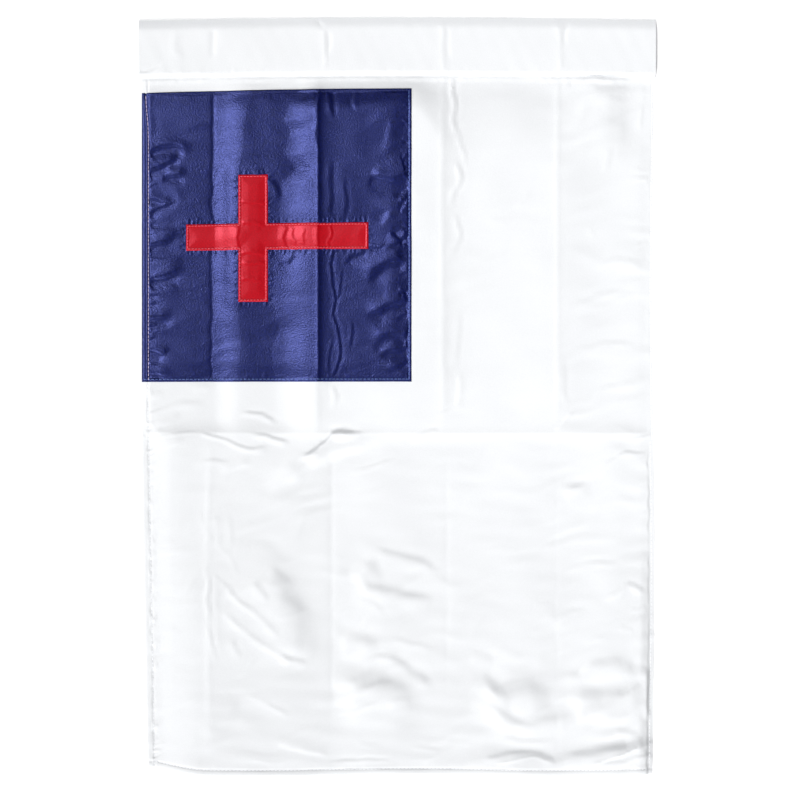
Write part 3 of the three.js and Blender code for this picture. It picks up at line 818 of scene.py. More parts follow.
# %% [markdown]
# ## The pole sleeve
# The sleeve is a strip folded double and stitched over the top of the field, and a pole goes
# through it. It could be one flat sheet with a line on it, but then it would have no mouth at
# its ends. Here it is a real tube, and its upper side comes first: steep where it leaves the
# seam, almost level over the pole's room, and rounded down to the fold at the top edge.

# %% Upper side of the sleeve
SLEEVE_DEPTH = 76.8
SLEEVE_OVERLAP = 3
SLEEVE_THICK = 0.6
SLEEVE_SEAM_TOP = 1.5
SLEEVE_HEIGHT = 8.0
SLEEVE_CREASES = [
    ("sharp", 0.6, 3, [(-100, 514), (-99, 490), (-97, 462), (-100, 440)], 0.05, 0.1),
    ("ridge", -0.9, 3.2, [(-95, 500), (-93, 480), (-95, 458)], 0.3, 0.3),
    ("ridge", -1.0, 3, [(-110, 512), (-102, 504), (-98, 496)], 0.1, 0.3),
    ("sharp", 0.5, 2.6, [(58, 514), (62, 495), (62, 465), (64, 440)], 0.05, 0.05),
    ("ridge", -0.5, 3, [(68, 505), (68, 480), (72, 452)], 0.2, 0.3),
    ("sharp", 0.6, 3, [(218, 513), (220, 480), (221, 440)], 0.1, 0.1),
    ("ridge", -0.8, 3, [(236, 508), (226, 494), (224, 470)], 0.2, 0.4),
    ("ridge", -0.6, 4, [(-249, 500), (-250, 480), (-250, 455)], 0.2, 0.3),
    ("ridge", 0.5, 6, [(-300, 500), (-302, 478), (-290, 450)], 0.3, 0.3),
    ("ridge", -0.8, 1.6, [(-349, 441), (-336, 442), (-325, 448), (-318, 456)], 0.05, 0.3),
]


def sleeve_height(x, share):
    """Upper surface of the sleeve at a share of the way from its seam to its fold."""
    seam_side = np.sqrt(1 - (1 - np.clip(share / 0.03, 0, 1)) ** 2)
    fold_side = np.sin(np.pi / 2 * np.clip((1 - share) / 0.21, 0, 1))
    sag = 1 - 0.2 * smooth(share)
    return SLEEVE_SEAM_TOP + (SLEEVE_HEIGHT - SLEEVE_SEAM_TOP) * seam_side * fold_side * sag


def sleeve_front(x, across):
    """Real x, y and height on the sleeve's upper side, across mm above the seam line."""
    share = np.clip(across / SLEEVE_DEPTH, 0, 1)
    left_edge = smooth((LEFT_X + 30 - x) / 30)
    real_x = x - 2.7 * share * left_edge + 0.6 * share * smooth((x - 320) / 30)
    real_y = SEAM_Y + seam_bow(x) + across
    fine = np.zeros_like(real_x)
    bent_x, bent_y = wobbled(real_x, real_y)
    for kind, size, width, points, start, end in SLEEVE_CREASES:
        add_crease(fine, bent_x, bent_y, kind, size, width, points, start, end)
    add_puckers(fine, real_x, real_y, 21, (-348, 437), (348, 439), (0, 1), 11, 12, 0.5, 2.2, 0.5)
    add_puckers(fine, real_x, real_y, 22, (-351, 513), (351, 514), (0, -1), 34, 12, 0.5, 2.6, 0.2)
    fine += ripples(real_x, real_y, 23, 90, 0.16) + ripples(real_x, real_y, 24, 26, 0.06)
    edge = smooth(across / 6 + 0.2) * smooth((1 - share) / 0.06)
    groove = 0.35 * np.exp(-(((across - 0.6) / 1.0) ** 2))
    return real_x, real_y, sleeve_height(x, share) + fine * edge - groove


sleeve_middle = sleeve_height(0, np.array([0.0, 0.1, 0.5, 0.9]))
print("sleeve heights from seam to fold:", np.round(sleeve_middle, 1))

# %% [markdown]
# ## Sweep the tube
# The same ring repeats along the flag: over the top and back underneath, with a smaller ring
# inside it for the room that the pole takes. Joining each ring to the next gives both walls.
# At the two ends the gap between the rings is filled, which leaves the mouths open.

# %% Sweep the sleeve
FOLD_EDGE = [(SLEEVE_DEPTH, 1.9), (SLEEVE_DEPTH - 0.4, 0.7)]
UNDERSIDE_ACROSS = (74.6, 60, 40, 20, 4.5)
OVERLAP_STEP, OVERLAP_Z = 2.5, 0.75
ROOM_ACROSS = np.array([5, 8, 14, 24, 38, 52, 62, 69, 73, 74.8])
ROOM_FLOOR = 0.6


def sleeve_top():
    """Points of the upper side, in one row across the sleeve for each station along it."""
    along = stations([(-348.8, 2.8), (350.9, 0)])
    shares = np.concatenate([
        np.linspace(0, 0.1, 6), np.linspace(0.13, 0.86, 24), np.linspace(0.885, 1, 10)])
    across = np.concatenate([[-SLEEVE_OVERLAP, -1.6], shares * SLEEVE_DEPTH])
    grid_x, grid_a = np.meshgrid(along, across, indexing="ij")
    x, y, z = sleeve_front(grid_x.ravel(), grid_a.ravel())
    return np.stack([x, y, z], axis=1).reshape(len(along), len(across), 3)


def sleeve_ring(top):
    """Outer and inner ring of one station, whose upper side is the row of points top."""
    base_x, base_y = top[2, 0], top[2, 1]
    outer = [list(point) for point in top]
    outer[-1][2] = FOLD_EDGE[0][1]
    outer += [[top[-1, 0], base_y + FOLD_EDGE[1][0], FOLD_EDGE[1][1]]]
    outer += [[top[-1, 0], base_y + across, 0.0] for across in UNDERSIDE_ACROSS]
    outer += [[base_x, base_y + OVERLAP_STEP, OVERLAP_Z], [base_x, base_y - SLEEVE_OVERLAP, OVERLAP_Z]]
    height = np.interp(ROOM_ACROSS, top[:, 1] - base_y, top[:, 2]) - SLEEVE_THICK
    room_x = np.interp(ROOM_ACROSS, top[:, 1] - base_y, top[:, 0])
    inner = [[px, base_y + a, h] for px, a, h in zip(room_x, ROOM_ACROSS, height)]
    inner += [[px, base_y + a, ROOM_FLOOR] for px, a in zip(room_x[::-1], ROOM_ACROSS[::-1])]
    return outer, inner


def sleeve_piece():
    """The closed tube with its two open mouths."""
    rings = [sleeve_ring(top) for top in sleeve_top()]
    outer_count, inner_count = len(rings[0][0]), len(rings[0][1])
    count = outer_count + inner_count
    points = [point for outer, inner in rings for point in outer + inner]
    faces = []
    for station in range(len(rings) - 1):
        here, there = station * count, (station + 1) * count
        for k in range(outer_count):
            n = (k + 1) % outer_count
            faces.append([here + k, there + k, there + n, here + n])
        for k in range(inner_count):
            a, b = outer_count + k, outer_count + (k + 1) % inner_count
            faces.append([here + b, there + b, there + a, here + a])
    for station in (0, len(rings) - 1):
        loops = [[Vector((0, p[1], p[2])) for p in loop] for loop in rings[station]]
        for a, b, c in tessellate_polygon(loops):
            triangle = [station * count + a, station * count + b, station * count + c]
            first, second, third = (np.array(points[index])[1:] for index in triangle)
            turn = np.cross(second - first, third - first)
            wanted = 1 if station else -1
            faces.append(triangle if turn * wanted > 0 else triangle[::-1])
    return new_piece("sleeve_cloth", points, faces)


sleeve_cloth = sleeve_piece()
print("sleeve has", len(sleeve_cloth.data.polygons), "faces")

# %% [markdown]
# ## The blue canton
# The canton is sewn flat onto the field with its edges turned under, so it has a raised border
# and a stitch groove. Its left edge lies on the hem of the flag and is sewn through it, which
# pulls rows of hooked creases out of the seam. The thread tugs at the right seam too. Blue
# satin is dark unless it mirrors the lamp on the left, so its streaks are turned to that lamp.

# %% Creases of the canton
CANTON_CREASES = [
    ("sharp", -0.6, 2.2, [(-249.5, 418), (-250, 300), (-251, 200), (-251, 24)], 0.02, 0.02),
    ("sharp", 0.6, 2.6, [(-105, 416), (-110, 360), (-106, 300), (-106.5, 150), (-106.5, 24)], 0.02, 0.02),
    ("streak", 0.6, 5, [(-190, 302), (-176, 296), (-162, 284), (-158, 262)], 0.2, 0.3),
    ("streak", 0.6, 4, [(-160, 185), (-148, 182), (-136, 192)], 0.3, 0.3),
    ("streak", 0.3, 2.0, [(-112, 414), (-111, 396)], 0.1, 0.4),
    # the long wavy crease under the cross, and its branches
    ("streak", 0.5, 2.0, [(-87, 198), (-90, 176), (-86, 147), (-84, 133), (-86, 111), (-82, 97), (-77, 78),
                          (-76, 61), (-78, 46), (-89, 24)], 0.03, 0.06),
    ("streak", 0.3, 1.8, [(-74, 176), (-75, 153), (-78, 138), (-84, 128)], 0.3, 0.2),
    ("streak", 0.3, 2.0, [(-86, 84), (-92, 54), (-92, 28)], 0.3, 0.2),
    ("streak", 0.35, 2.4, [(-62, 106), (-60, 83), (-63, 62)], 0.3, 0.3),
    ("streak", 0.6, 4, [(-72, 178), (-62, 189), (-53, 193), (-40, 195)], 0.3, 0.2),
    ("streak", 0.6, 3.0, [(-92, 414), (-89, 392), (-85, 376)], 0.1, 0.4),
    ("streak", -0.35, 3.0, [(-56, 414), (-60, 402), (-58, 392), (-53, 384)], 0.1, 0.4),
    ("streak", 0.4, 4.0, [(-88, 330), (-90, 280), (-88, 240)], 0.3, 0.2),
    ("streak", 0.3, 3.0, [(-70, 300), (-68, 260), (-70, 238)], 0.3, 0.2),
    ("streak", -0.3, 6.0, [(-10, 380), (-16, 350), (-24, 325)], 0.3, 0.4),
    # the drags that pull from the right seam
    ("streak", 2.0, (7, 11), [(-38, 301), (-22, 294), (-4, 292), (14, 297)], 0.25, 0.02),
    ("streak", -0.7, 3.6, [(-2, 266), (6, 276), (14, 282)], 0.3, 0.1),
    ("streak", -0.6, 3.0, [(4, 250), (10, 256), (15, 260)], 0.3, 0.1),
    ("streak", 0.5, 1.8, [(3, 261), (9, 265), (15, 269)], 0.3, 0.1),
    ("streak", -0.7, 6, [(-24, 232), (-18, 242), (-10, 252)], 0.35, 0.35),
    ("streak", 1.0, 4.0, [(-8, 223), (-2, 216), (4, 211)], 0.3, 0.1),
    ("streak", 1.0, 4.0, [(2, 211), (8, 214), (15, 221)], 0.1, 0.1),
    ("streak", 0.7, 2.6, [(-38, 200), (-28, 202), (-16, 204)], 0.2, 0.3),
    ("streak", -0.6, 3.0, [(-10, 196), (2, 203), (12, 208)], 0.3, 0.1),
    ("streak", 1.9, (10, 8), [(-44, 154), (-26, 171), (-10, 180), (12, 186)], 0.3, 0.2),
    ("streak", 0.5, 1.8, [(2, 166), (15, 167)], 0.4, 0.1),
    ("streak", 0.9, 3.6, [(0, 141), (8, 143), (15, 143)], 0.4, 0.1),
    ("streak", 1.6, (6, 8), [(-44, 109), (-22, 116), (-4, 123), (15, 130)], 0.35, 0.05),
    ("streak", 0.6, 2.4, [(-2, 108), (8, 110), (15, 112)], 0.4, 0.1),
    ("streak", 1.4, (9, 7), [(-36, 73), (-20, 78), (-4, 82), (15, 79)], 0.35, 0.1),
    ("streak", 1.5, (6, 6), [(-24, 57), (-12, 61), (-4, 63), (15, 66)], 0.3, 0.05),
    ("streak", 0.7, 4, [(-16, 35), (2, 40), (15, 45)], 0.3, 0.1),
    ("streak", 0.5, 1.6, [(6, 372), (15, 372)], 0.4, 0.1),
    ("streak", 0.5, 1.6, [(7, 348), (15, 346)], 0.4, 0.1),
    ("streak", 0.5, 1.8, [(7, 321), (15, 324)], 0.4, 0.1),
    # the hooked creases at the left seam
    ("streak", 1.6, (5, 6), [(-337, 331), (-322, 338), (-307, 340), (-295, 336), (-285, 324)], 0.02, 0.25),
    ("streak", 1.5, (5.5, 4), [(-337, 306), (-322, 311), (-309, 317), (-296, 325)], 0.02, 0.35),
    ("streak", 1.3, 6, [(-318, 304), (-302, 300), (-284, 298)], 0.25, 0.4),
    ("streak", -0.6, 9, [(-334, 290), (-312, 282), (-290, 262)], 0.3, 0.35),
    ("streak", -0.3, 3, [(-340, 414), (-338, 390), (-336, 350)], 0.1, 0.2),
    ("streak", 0.9, 4, [(-337, 271), (-324, 265), (-308, 262)], 0.05, 0.5),
    ("streak", 0.8, 4, [(-337, 246), (-322, 256), (-298, 264)], 0.05, 0.4),
    ("streak", -0.5, 7, [(-336, 226), (-316, 230), (-292, 222)], 0.1, 0.4),
    ("streak", 1.2, (4, 8), [(-337, 204), (-318, 208), (-296, 216)], 0.02, 0.5),
    ("streak", -0.4, 5, [(-336, 186), (-316, 188), (-292, 194)], 0.1, 0.4),
    ("streak", 1.7, (5, 9), [(-337, 154), (-326, 160), (-309, 165), (-284, 168)], 0.02, 0.45),
    ("streak", -0.5, 6, [(-334, 144), (-310, 148), (-286, 142)], 0.1, 0.5),
    ("streak", 0.6, 2.6, [(-337, 138), (-322, 139)], 0.02, 0.5),
    ("streak", 0.5, 2.0, [(-337, 124), (-326, 125)], 0.02, 0.5),
    ("streak", 1.2, (4, 8), [(-337, 105), (-324, 107), (-302, 109)], 0.02, 0.5),
    ("streak", -0.4, (3, 6), [(-337, 91), (-318, 94), (-296, 104)], 0.05, 0.5),
    ("streak", 0.6, 2.4, [(-337, 95), (-326, 96)], 0.02, 0.5),
    ("streak", 0.6, 2.6, [(-337, 77), (-326, 78)], 0.02, 0.5),
    ("streak", 1.5, (4.5, 6), [(-337, 63), (-326, 60), (-314, 55)], 0.02, 0.35),
    ("streak", -0.4, 4, [(-337, 46), (-322, 44), (-304, 46)], 0.05, 0.5),
    ("streak", 1.2, 5, [(-337, 31), (-322, 29), (-304, 26)], 0.02, 0.5),
]
print(len(CANTON_CREASES), "creases on the canton")

# %% [markdown]
# ## Puckers of the canton
# The canton has a stitch line on all four sides, and the thread draws the cloth in. Rows of
# puckers run into the canton from each of its seams, closest together at the left one, where
# the needle went through the thick hem of the flag.

# %% Puckers at its seams
CANTON_DEPTH = 0.75
CANTON_PUCKERS = [
    # seed, start, finish, inward, pitch, length, height, width, slant, kind
    (31, (-337, 400), (-337, 24), (1, 0), 7, 16, 0.36, 2.0, -0.1, "streak"),
    (32, (15, 396), (15, 24), (-1, 0), 10, 16, 0.32, 2.0, 0.3, "streak"),
    (33, (-330, 414), (14, 416), (0, -1), 30, 14, 0.3, 2.4, 0.0, "ridge"),
    (34, (-330, 24), (14, 26), (0, 1), 26, 12, 0.3, 2.2, 0.2, "ridge"),
]


def canton_creases(real_x, real_y):
    height = np.zeros_like(real_x)
    bent_x, bent_y = wobbled(real_x, real_y)
    for kind, size, width, points, start, end in CANTON_CREASES:
        depth = size * CANTON_DEPTH if kind == "streak" else size
        add_crease(height, bent_x, bent_y, kind, depth, width, points, start, end, SHEEN_LAMP, 0)
    for row in CANTON_PUCKERS:
        add_puckers(height, bent_x, bent_y, *row)
    height += ripples(real_x, real_y, 38, 90, 0.3) + ripples(real_x, real_y, 39, 30, 0.07)
    height += crumple(real_x, real_y, 81, 30, 0.14, 8)
    return height


print("the canton has puckers along", len(CANTON_PUCKERS), "seams")

# %% [markdown]
# ## Puckers around the cross
# The cross is stitched down all round as well, and its stitches draw the blue cloth in too. So
# tiny puckers run outward from each of its twelve straight edges. The distance to the nearest
# edge of the cross tells where it lies, and the same function gives the cross its shape later.

# %% Where the cross lies, and the puckers round it
def cross_inside(x, y):
    """Distance from the nearest edge of the cross, on the grid."""
    bar = np.minimum(np.minimum(x - CROSS["bar_left"], CROSS["bar_right"] - x),
                     np.minimum(y - CROSS["bar_bottom"], CROSS["bar_top"] - y))
    arm = np.minimum(np.minimum(x - CROSS["arm_left"], CROSS["arm_right"] - x),
                     np.minimum(y - CROSS["arm_bottom"], CROSS["arm_top"] - y))
    return np.maximum(bar, arm)


def around_cross(x, y, seed=35):
    """Tiny puckers all round the cross, where its stitches draw the canton in."""
    height = np.zeros_like(x)
    left, right, top, bottom = (CROSS["bar_" + side] for side in ("left", "right", "top", "bottom"))
    arm_left, arm_right = CROSS["arm_left"], CROSS["arm_right"]
    arm_top, arm_bottom = CROSS["arm_top"], CROSS["arm_bottom"]
    rows = [
        ((left, top), (right, top), (0, 1)), ((left, arm_top), (left, top), (-1, 0)),
        ((right, top), (right, arm_top), (1, 0)), ((left, arm_bottom), (left, bottom), (-1, 0)),
        ((right, arm_bottom), (right, bottom), (1, 0)), ((left, bottom), (right, bottom), (0, -1)),
        ((arm_left, arm_top), (left, arm_top), (0, 1)), ((right, arm_top), (arm_right, arm_top), (0, 1)),
        ((arm_left, arm_bottom), (left, arm_bottom), (0, -1)),
        ((right, arm_bottom), (arm_right, arm_bottom), (0, -1)),
        ((arm_right, arm_top), (arm_right, arm_bottom), (1, 0)),
        ((arm_left, arm_top), (arm_left, arm_bottom), (-1, 0)),
    ]
    for number, (start, finish, outward) in enumerate(rows):
        add_puckers(height, x, y, seed + number, start, finish, outward, 5, 11, 0.8, 1.5, 0.0, "streak")
    return height


print("the cross is", CROSS["arm_right"] - CROSS["arm_left"], "mm long")

# %% [markdown]
# ## Lay the canton
# Three layers of cloth meet at the canton's border, so it stands up from the field and its
# middle puffs up a little. The left border is a doubled band with a groove along it. The back
# follows the field closely. The depth of the creases is limited, to keep them above the back.

# %% Front and back of the canton
CANTON_LIFT = 0.75
CANTON_PUFF = 0.9
BORDER = 3.6
LEFT_BAND, BAND_NARROWS = 9.2, 3.8
DEEPEST_CREASE = -0.95


def left_band(y):
    """Width of the doubled band at the canton's left edge, narrower at its top end."""
    return LEFT_BAND - BAND_NARROWS * smooth((y - 352) / 60)


def canton_front(x, y):
    real_x, real_y = placed(x, y)
    edge = canton_inside(x, y)
    band_width = left_band(y)
    fine = canton_creases(real_x, real_y) + around_cross(x, y)
    border = strip(edge, BORDER - 0.6, 0.3, BORDER, 0.35, 1.0)
    left = x - CANTON["left"]
    seam = left / band_width
    band = 0.4 * np.exp(-(((seam - 0.66) / 0.15) ** 2)) - 0.35 * np.exp(-(((seam - 0.4) / 0.09) ** 2))
    band = band + ripples(real_x * 0.4, real_y, 92, 9, 0.09) * (seam < 0.95)
    border = np.where(left < 12, strip(left, band_width - 1, 0.3, band_width, 0.5, 1.1) + band, border)
    roll = -0.3 * (1 - smooth(edge / 1.2))
    free = smooth((edge - BORDER) / 2.5) * smooth((left - band_width) / 2.0)
    puff = CANTON_PUFF * smooth((edge - BORDER) / 26)
    puff = puff * (0.2 + 0.8 * smooth(left / 90))
    top = relief(x, y) + FIELD_THICK + CANTON_LIFT + border + roll + puff
    under_cross = smooth((cross_inside(x, y) - 0.6) / 2.4)
    top = top + np.maximum(fine, DEEPEST_CREASE) * free * (1 - under_cross)
    return real_x, real_y, top


def canton_back(x, y):
    real_x, real_y = placed(x, y)
    edge = canton_inside(x, y)
    return real_x, real_y, relief(x, y) + FIELD_THICK + 0.1 - 0.38 * smooth((edge - 3) / 8)


CANTON_X = stations([(CANTON["left"], 2.4), (-334, 5.3), (4, 3.4), (CANTON["right"], 0)])
CANTON_Y = stations([(CANTON["bottom"], 3.4), (34, 5.3), (400, 3.2), (CANTON["top"], 0)])
canton_cloth = sheet_piece("canton_cloth", CANTON_X, CANTON_Y, 3, canton_front, canton_back)

# %% [markdown]
# ## The red cross
# The cross is one piece of red cloth with its edges turned under. It lies on its side here, and
# stands upright when the sleeve is on an upright pole. A turned edge is two layers thick, so it
# catches the light on one side and is dark on the other all the way round. Its few creases
# cross the bar and the arm, as they do in the photo.

# %% Creases of the cross
CROSS_CREASES = [
    ("streak", 0.6, 2.0, [(-213, 263), (-196, 262), (-178, 261)], 0.15, 0.15),
    ("streak", 0.6, 2.2, [(-212, 232), (-196, 234), (-180, 231)], 0.2, 0.2),
    ("streak", 0.7, 2.2, [(-212, 191), (-198, 195), (-180, 191)], 0.2, 0.2),
    ("streak", 0.6, 2.0, [(-212, 180), (-196, 178), (-178, 180)], 0.2, 0.2),
    ("streak", 0.5, 2.2, [(-212, 157), (-198, 158), (-182, 156)], 0.2, 0.3),
    ("streak", 0.5, 1.5, [(-92, 232), (-87, 219), (-92, 208), (-90, 198)], 0.05, 0.05),
    ("streak", 0.4, 3.0, [(-214, 230), (-218, 214), (-212, 200)], 0.1, 0.1),
    ("streak", 0.5, 3.0, [(-148, 230), (-154, 216), (-146, 200)], 0.1, 0.1),
    ("streak", 0.4, 2.4, [(-139, 230), (-142, 218), (-134, 206)], 0.2, 0.2),
    ("streak", 0.3, 2.4, [(-122, 229), (-127, 216), (-124, 202)], 0.2, 0.2),
    ("streak", 0.5, 2.6, [(-106.5, 230), (-106.5, 214), (-106.5, 200)], 0.05, 0.05),
]
print(len(CROSS_CREASES), "creases on the cross")

# %% [markdown]
# ## Lay the cross
# The cross lies on the canton, with its underside as high as the canton's middle puffs up. It
# takes the cells of the grid that are inside its outline, so all of its corners are square.

# %% Make the cross
CROSS_LIFT = 0.7
CROSS_BORDER = 3.4
CROSS_DEPTH = 0.5


def on_cross(x, y):
    return cross_inside(x, y) > 0


def cross_front(x, y):
    real_x, real_y = placed(x, y)
    edge = cross_inside(x, y)
    bent_x, bent_y = wobbled(real_x, real_y)
    fine = np.zeros_like(real_x)
    for kind, size, width, points, start, end in CROSS_CREASES:
        add_crease(fine, bent_x, bent_y, kind, size * CROSS_DEPTH, width, points, start, end, SHEEN_LAMP)
    fine += ripples(real_x, real_y, 51, 24, 0.08)
    border = strip(edge, CROSS_BORDER - 1.0, 0.4, CROSS_BORDER, 0.3, 0.9) - 0.3 * (1 - smooth(edge / 1.0))
    puff = 0.4 * smooth((edge - CROSS_BORDER) / 12)
    top = relief(x, y) + FIELD_THICK + CANTON_LIFT + CANTON_PUFF + CROSS_LIFT + border + puff
    return real_x, real_y, top + fine * smooth((edge - CROSS_BORDER + 1) / 2)


def cross_back(x, y):
    real_x, real_y = placed(x, y)
    return real_x, real_y, relief(x, y) + FIELD_THICK + CANTON_LIFT + CANTON_PUFF


CROSS_X = stations([
    (CROSS["arm_left"], 3.6), (CROSS["bar_left"], 3.4), (CROSS["bar_right"], 3.6), (CROSS["arm_right"], 0)])
CROSS_Y = stations([
    (CROSS["bar_bottom"], 3.6), (CROSS["arm_bottom"], 3.4), (CROSS["arm_top"], 3.6), (CROSS["bar_top"], 0)])
cross_cloth = sheet_piece("cross_cloth", CROSS_X, CROSS_Y, 3, cross_front, cross_back, on_cross)

# %% [markdown]
# ## Stitches
# Every seam is a row of lock stitches, one every four or five millimetres. Each one is a short
# bowed thread whose two ends dive into the cloth. They could be a texture, but real threads
# catch the light, and one function can lay them along any line of the grid.

# %% One function for rows of thread
STITCH_PITCH = 5.2
THREAD_SIDES = 6
THREAD_END = -0.35


def stitch_rows(name, rows, front, radius=0.34, gap=0.9, lift=0.22, pitch=STITCH_PITCH):
    """Threads along grid lines. rows holds (start, finish) pairs and front gives the surface."""
    bend = np.array([0, 0.12, 0.35, 0.65, 0.88, 1])
    bow = np.array([THREAD_END, 0.1, lift, lift, 0.1, THREAD_END])
    girth = np.array([0.5, 0.9, 1, 1, 0.9, 0.5])
    turn = np.linspace(0, 2 * np.pi, THREAD_SIDES, endpoint=False)
    points, faces = [], []
    for start, finish in rows:
        start, finish = np.array(start, float), np.array(finish, float)
        count = max(1, int(np.hypot(*(finish - start)) / pitch))
        begins = np.arange(count)[:, None]
        share = (begins + 0.5 * gap / pitch + bend[None, :] * (1 - gap / pitch)) / count
        line = start + (finish - start) * share.ravel()[:, None]
        x, y, z = (value.reshape(share.shape) for value in front(line[:, 0], line[:, 1]))
        for k in range(count):
            path = np.stack([x[k], y[k], np.maximum(z[k] + bow, radius)], axis=1)
            ahead = path[-1] - path[0]
            across = np.cross(ahead, [0, 0, 1])
            across = across / max(np.linalg.norm(across), 1e-9)
            first = len(points)
            for place, thick in zip(path, girth):
                ring = np.cos(turn)[:, None] * across + np.sin(turn)[:, None] * np.array([0, 0, 1])
                points.extend(place + ring * radius * thick)
            for section in range(len(path) - 1):
                for s in range(THREAD_SIDES):
                    a = first + section * THREAD_SIDES + s
                    b = first + section * THREAD_SIDES + (s + 1) % THREAD_SIDES
                    faces.append([a, b, b + THREAD_SIDES, a + THREAD_SIDES])
            last = first + (len(path) - 1) * THREAD_SIDES
            faces.append([first + s for s in range(THREAD_SIDES)][::-1])
            faces.append([last + s for s in range(THREAD_SIDES)])
    piece = new_piece(name, points, faces, 80)
    print(name, "has", len(points) // (THREAD_SIDES * len(bend)), "stitches")
    return piece


print("one stitch covers", STITCH_PITCH, "mm of seam")

# %% [markdown]
# ## Rows round the canton and the cross
# The thread on the canton is blue, but along its left edge it shows pale, and along its top it
# lies in the shade of its groove. So the canton has three stitch pieces, each with a thread of its
# own; the top row's is a darker copy of the blue thread, which is painted shade. The row on the
# cross follows its outline a little way inside the edge.

# %% Stitch the canton and the cross
def cross_rows(inset):
    """The twelve rows that run round the cross, this far inside its edge."""
    left, right = CROSS["bar_left"] + inset, CROSS["bar_right"] - inset
    top, bottom = CROSS["bar_top"] - inset, CROSS["bar_bottom"] + inset
    arm_left, arm_right = CROSS["arm_left"] + inset, CROSS["arm_right"] - inset
    arm_top, arm_bottom = CROSS["arm_top"] - inset, CROSS["arm_bottom"] + inset
    loop = [(left, top), (right, top), (right, arm_top), (arm_right, arm_top), (arm_right, arm_bottom),
            (right, arm_bottom), (right, bottom), (left, bottom), (left, arm_bottom),
            (arm_left, arm_bottom), (arm_left, arm_top), (left, arm_top), (left, top)]
    return list(zip(loop, loop[1:]))


band_stops = np.array([CANTON["top"] - 3, 396, 380, 366, 350, CANTON["bottom"] + 2])
band_line = [(CANTON["left"] + float(left_band(y)), float(y)) for y in band_stops]
canton_left_stitches = stitch_rows(
    "canton_left_stitches", list(zip(band_line, band_line[1:])), canton_front, 0.42)
canton_stitches = stitch_rows("canton_stitches", [
    ((CANTON["left"] + 2, CANTON["bottom"] + BORDER), (CANTON["right"] - 3, CANTON["bottom"] + BORDER)),
    ((CANTON["right"] - BORDER, CANTON["bottom"] + 3), (CANTON["right"] - BORDER, CANTON["top"] - 3)),
], canton_front)
# The top row lies in its groove, and its darker thread is painted shade.
canton_top_stitches = stitch_rows("canton_top_stitches", [
    ((CANTON["right"] - 3, CANTON["top"] - BORDER), (CANTON["left"] + 2, CANTON["top"] - BORDER)),
], canton_front, 0.28, lift=0.08)
cross_stitches = stitch_rows("cross_stitches", cross_rows(CROSS_BORDER - 1.1), cross_front, 0.3, pitch=4.2)

# %% [markdown]
# ## Rows along the hems and the sleeve
# White thread hardly shows on white cloth, but each hem still has a fine dotted line. The rows
# at the left and the bottom lie in the grooves of their hems, and one row holds the sleeve down.

# %% Stitch the hems and the sleeve
hem_stitches = stitch_rows("hem_stitches", [
    ((LEFT_X + 9.2, CANTON["bottom"] - 2), (LEFT_X + 9.2, BOTTOM_Y + 3)),
    ((RIGHT_X - 4.2, -60), (RIGHT_X - 4.2, BOTTOM_Y + 3)),
    ((RIGHT_X - 2.2, SEAM_Y - 6), (RIGHT_X - 2.2, -60)),
    ((LEFT_X + 10, BOTTOM_Y + 7.2), (RIGHT_X - 5, BOTTOM_Y + 7.2)),
], field_front, 0.3)
sleeve_stitches = stitch_rows(
    "sleeve_stitches", [((-347, 0.6), (349, 0.6))], sleeve_front, 0.3)

# %% [markdown]
# ## Cloth finish
# Flag nylon is a plain weave of shiny yarn. Seen from here the weave is a fine grain, the
# shine is soft, and it takes the colour of the cloth. A wave pattern each way makes the weave,
# and noise makes the yarns uneven. Both show a little in the colour. Only the noise drives the
# bump, because the weave is finer than a pixel.

# %% One function for nylon
WEAVE_SCALE, YARN_SCALE = 340, 540
RAMP_STOPS = (0.4, 0.75)


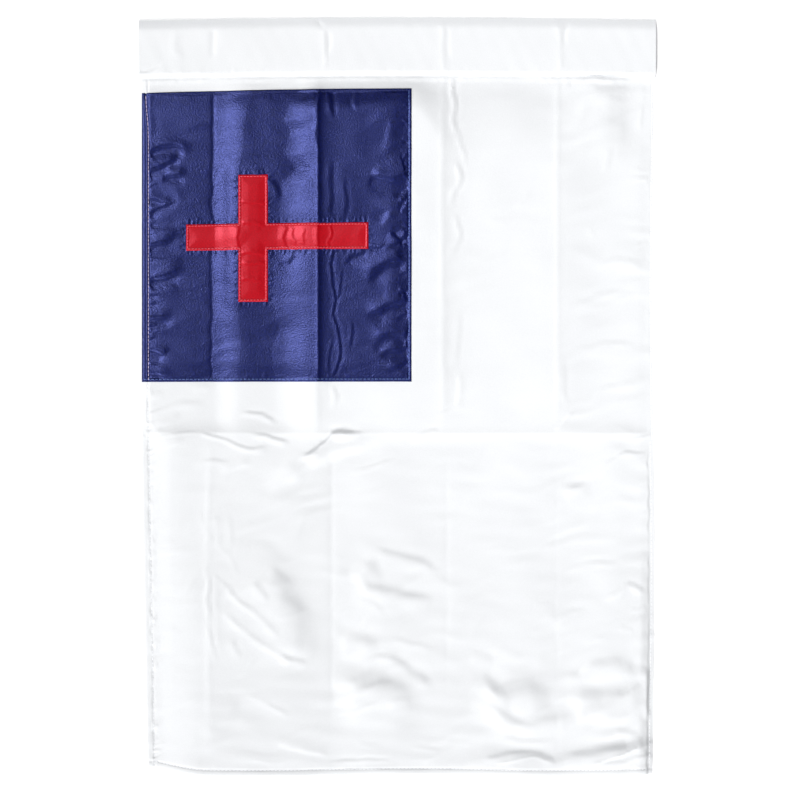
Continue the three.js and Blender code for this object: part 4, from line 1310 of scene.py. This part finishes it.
def nylon(name, colour, sheen_tint, grain, roughness, shine, bump_depth=0.0001, ior=1.5):
    """Plain woven nylon. grain is how far the weave shows in the colour, bump_depth in metres."""
    material = bpy.data.materials.new(name)
    material.use_nodes = True
    nodes, links = material.node_tree.nodes, material.node_tree.links
    shader = nodes["Principled BSDF"]
    place = nodes.new("ShaderNodeTexCoord")
    weave = []
    for direction in ("X", "Y"):
        wave = nodes.new("ShaderNodeTexWave")
        wave.wave_type = "BANDS"
        wave.bands_direction = direction
        wave.inputs["Scale"].default_value = WEAVE_SCALE
        wave.inputs["Distortion"].default_value = 1.2
        wave.inputs["Detail"].default_value = 1
        links.new(place.outputs["Object"], wave.inputs["Vector"])
        weave.append(wave.outputs["Fac"])
    woven = nodes.new("ShaderNodeMath")
    woven.operation = "MULTIPLY"
    links.new(weave[0], woven.inputs[0])
    links.new(weave[1], woven.inputs[1])
    yarn = nodes.new("ShaderNodeTexNoise")
    yarn.inputs["Scale"].default_value = YARN_SCALE
    yarn.inputs["Detail"].default_value = 1
    yarn.inputs["Roughness"].default_value = 0.6
    links.new(place.outputs["Object"], yarn.inputs["Vector"])
    mixed = nodes.new("ShaderNodeMath")
    mixed.operation = "MULTIPLY_ADD"
    mixed.inputs[1].default_value = 0.3
    links.new(woven.outputs[0], mixed.inputs[0])
    links.new(yarn.outputs["Fac"], mixed.inputs[2])
    ramp = nodes.new("ShaderNodeValToRGB")
    ramp.color_ramp.elements[0].position = RAMP_STOPS[0]
    ramp.color_ramp.elements[1].position = RAMP_STOPS[1]
    low = [channel * (1 - grain) for channel in colour]
    high = [min(1, channel * (1 + grain)) for channel in colour]
    ramp.color_ramp.elements[0].color = (*low, 1)
    ramp.color_ramp.elements[1].color = (*high, 1)
    links.new(mixed.outputs[0], ramp.inputs["Fac"])
    links.new(ramp.outputs["Color"], shader.inputs["Base Color"])
    bump = nodes.new("ShaderNodeBump")
    bump.inputs["Strength"].default_value = 1.0
    bump.inputs["Distance"].default_value = bump_depth
    links.new(yarn.outputs["Fac"], bump.inputs["Height"])
    links.new(bump.outputs["Normal"], shader.inputs["Normal"])
    shader.inputs["Roughness"].default_value = roughness
    shader.inputs["Specular IOR Level"].default_value = shine
    shader.inputs["IOR"].default_value = ior
    shader.inputs["Specular Tint"].default_value = (*sheen_tint, 1)
    return material


print("materials before the first nylon:", len(bpy.data.materials))

# %% [markdown]
# ## Three cloths and five threads
# The white cloth is bright all by itself, so its shine stays mild. The blue is so dark that
# most of what is seen of it is its sheen, and the red has a sheen too, each in its own hue.
# Thread is duller and lighter than the cloth it holds. The top row of the canton gets a darker
# copy of the blue thread, which is painted shade.

# %% Dye the cloths and threads
white_nylon = nylon("white_nylon", (0.608, 0.616, 0.629), (1, 1, 1), 0.015, 0.46, 0.6)
blue_nylon = nylon("blue_nylon", (0.002, 0.0034, 0.034), (0.262, 0.318, 0.93), 0.9, 0.345, 1.0, 0.0003, 1.52)
red_nylon = nylon("red_nylon", (0.337, 0.0012, 0.005), (1.0, 0.2, 0.28), 0.15, 0.34, 0.85, 0.0001, 1.5)
white_thread = nylon("white_thread", (0.86, 0.87, 0.9), (1, 1, 1), 0.05, 0.5, 0.3)
pink_thread = nylon("pink_thread", (0.62, 0.5, 0.66), (1, 1, 1), 0.1, 0.45, 0.5)
blue_thread = nylon("blue_thread", (0.1, 0.17, 0.42), (1, 1, 1), 0.1, 0.45, 0.5)
# A darker copy of the blue thread for the canton's top row: painted shade of its groove.
blue_thread_painted_shade = nylon("blue_thread_painted_shade", (0.008, 0.014, 0.08), (1, 1, 1), 0.1, 0.5, 0.3)
red_thread = nylon("red_thread", (0.72, 0.13, 0.17), (1, 1, 1), 0.08, 0.45, 0.5)
print("materials now:", len(bpy.data.materials))

# %% [markdown]
# ## Finish every piece
# Each piece gets its material, and the table lists beside it the slot that the library knows it
# by. All pieces ride on the root of the model, because nothing on a flat flag turns or slides.

# %% Put the finishes on
FINISHES = [
    (field_cloth, white_nylon, "white_cloth"), (sleeve_cloth, white_nylon, "white_cloth"),
    (canton_cloth, blue_nylon, "blue_cloth"), (cross_cloth, red_nylon, "red_cloth"),
    (canton_left_stitches, pink_thread, "blue_cloth"), (canton_stitches, blue_thread, "blue_cloth"),
    (canton_top_stitches, blue_thread_painted_shade, "blue_cloth"),
    (cross_stitches, red_thread, "red_cloth"), (hem_stitches, white_thread, "white_cloth"),
    (sleeve_stitches, white_thread, "white_cloth"),
]
for piece, material, slot in FINISHES:
    piece.data.materials.append(material)
    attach(piece, "root")
print("finished", len(FINISHES), "pieces")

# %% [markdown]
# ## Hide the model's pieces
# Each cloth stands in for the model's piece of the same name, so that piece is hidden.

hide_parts("field")
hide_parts("sleeve")
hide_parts("canton")
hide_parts("cross")
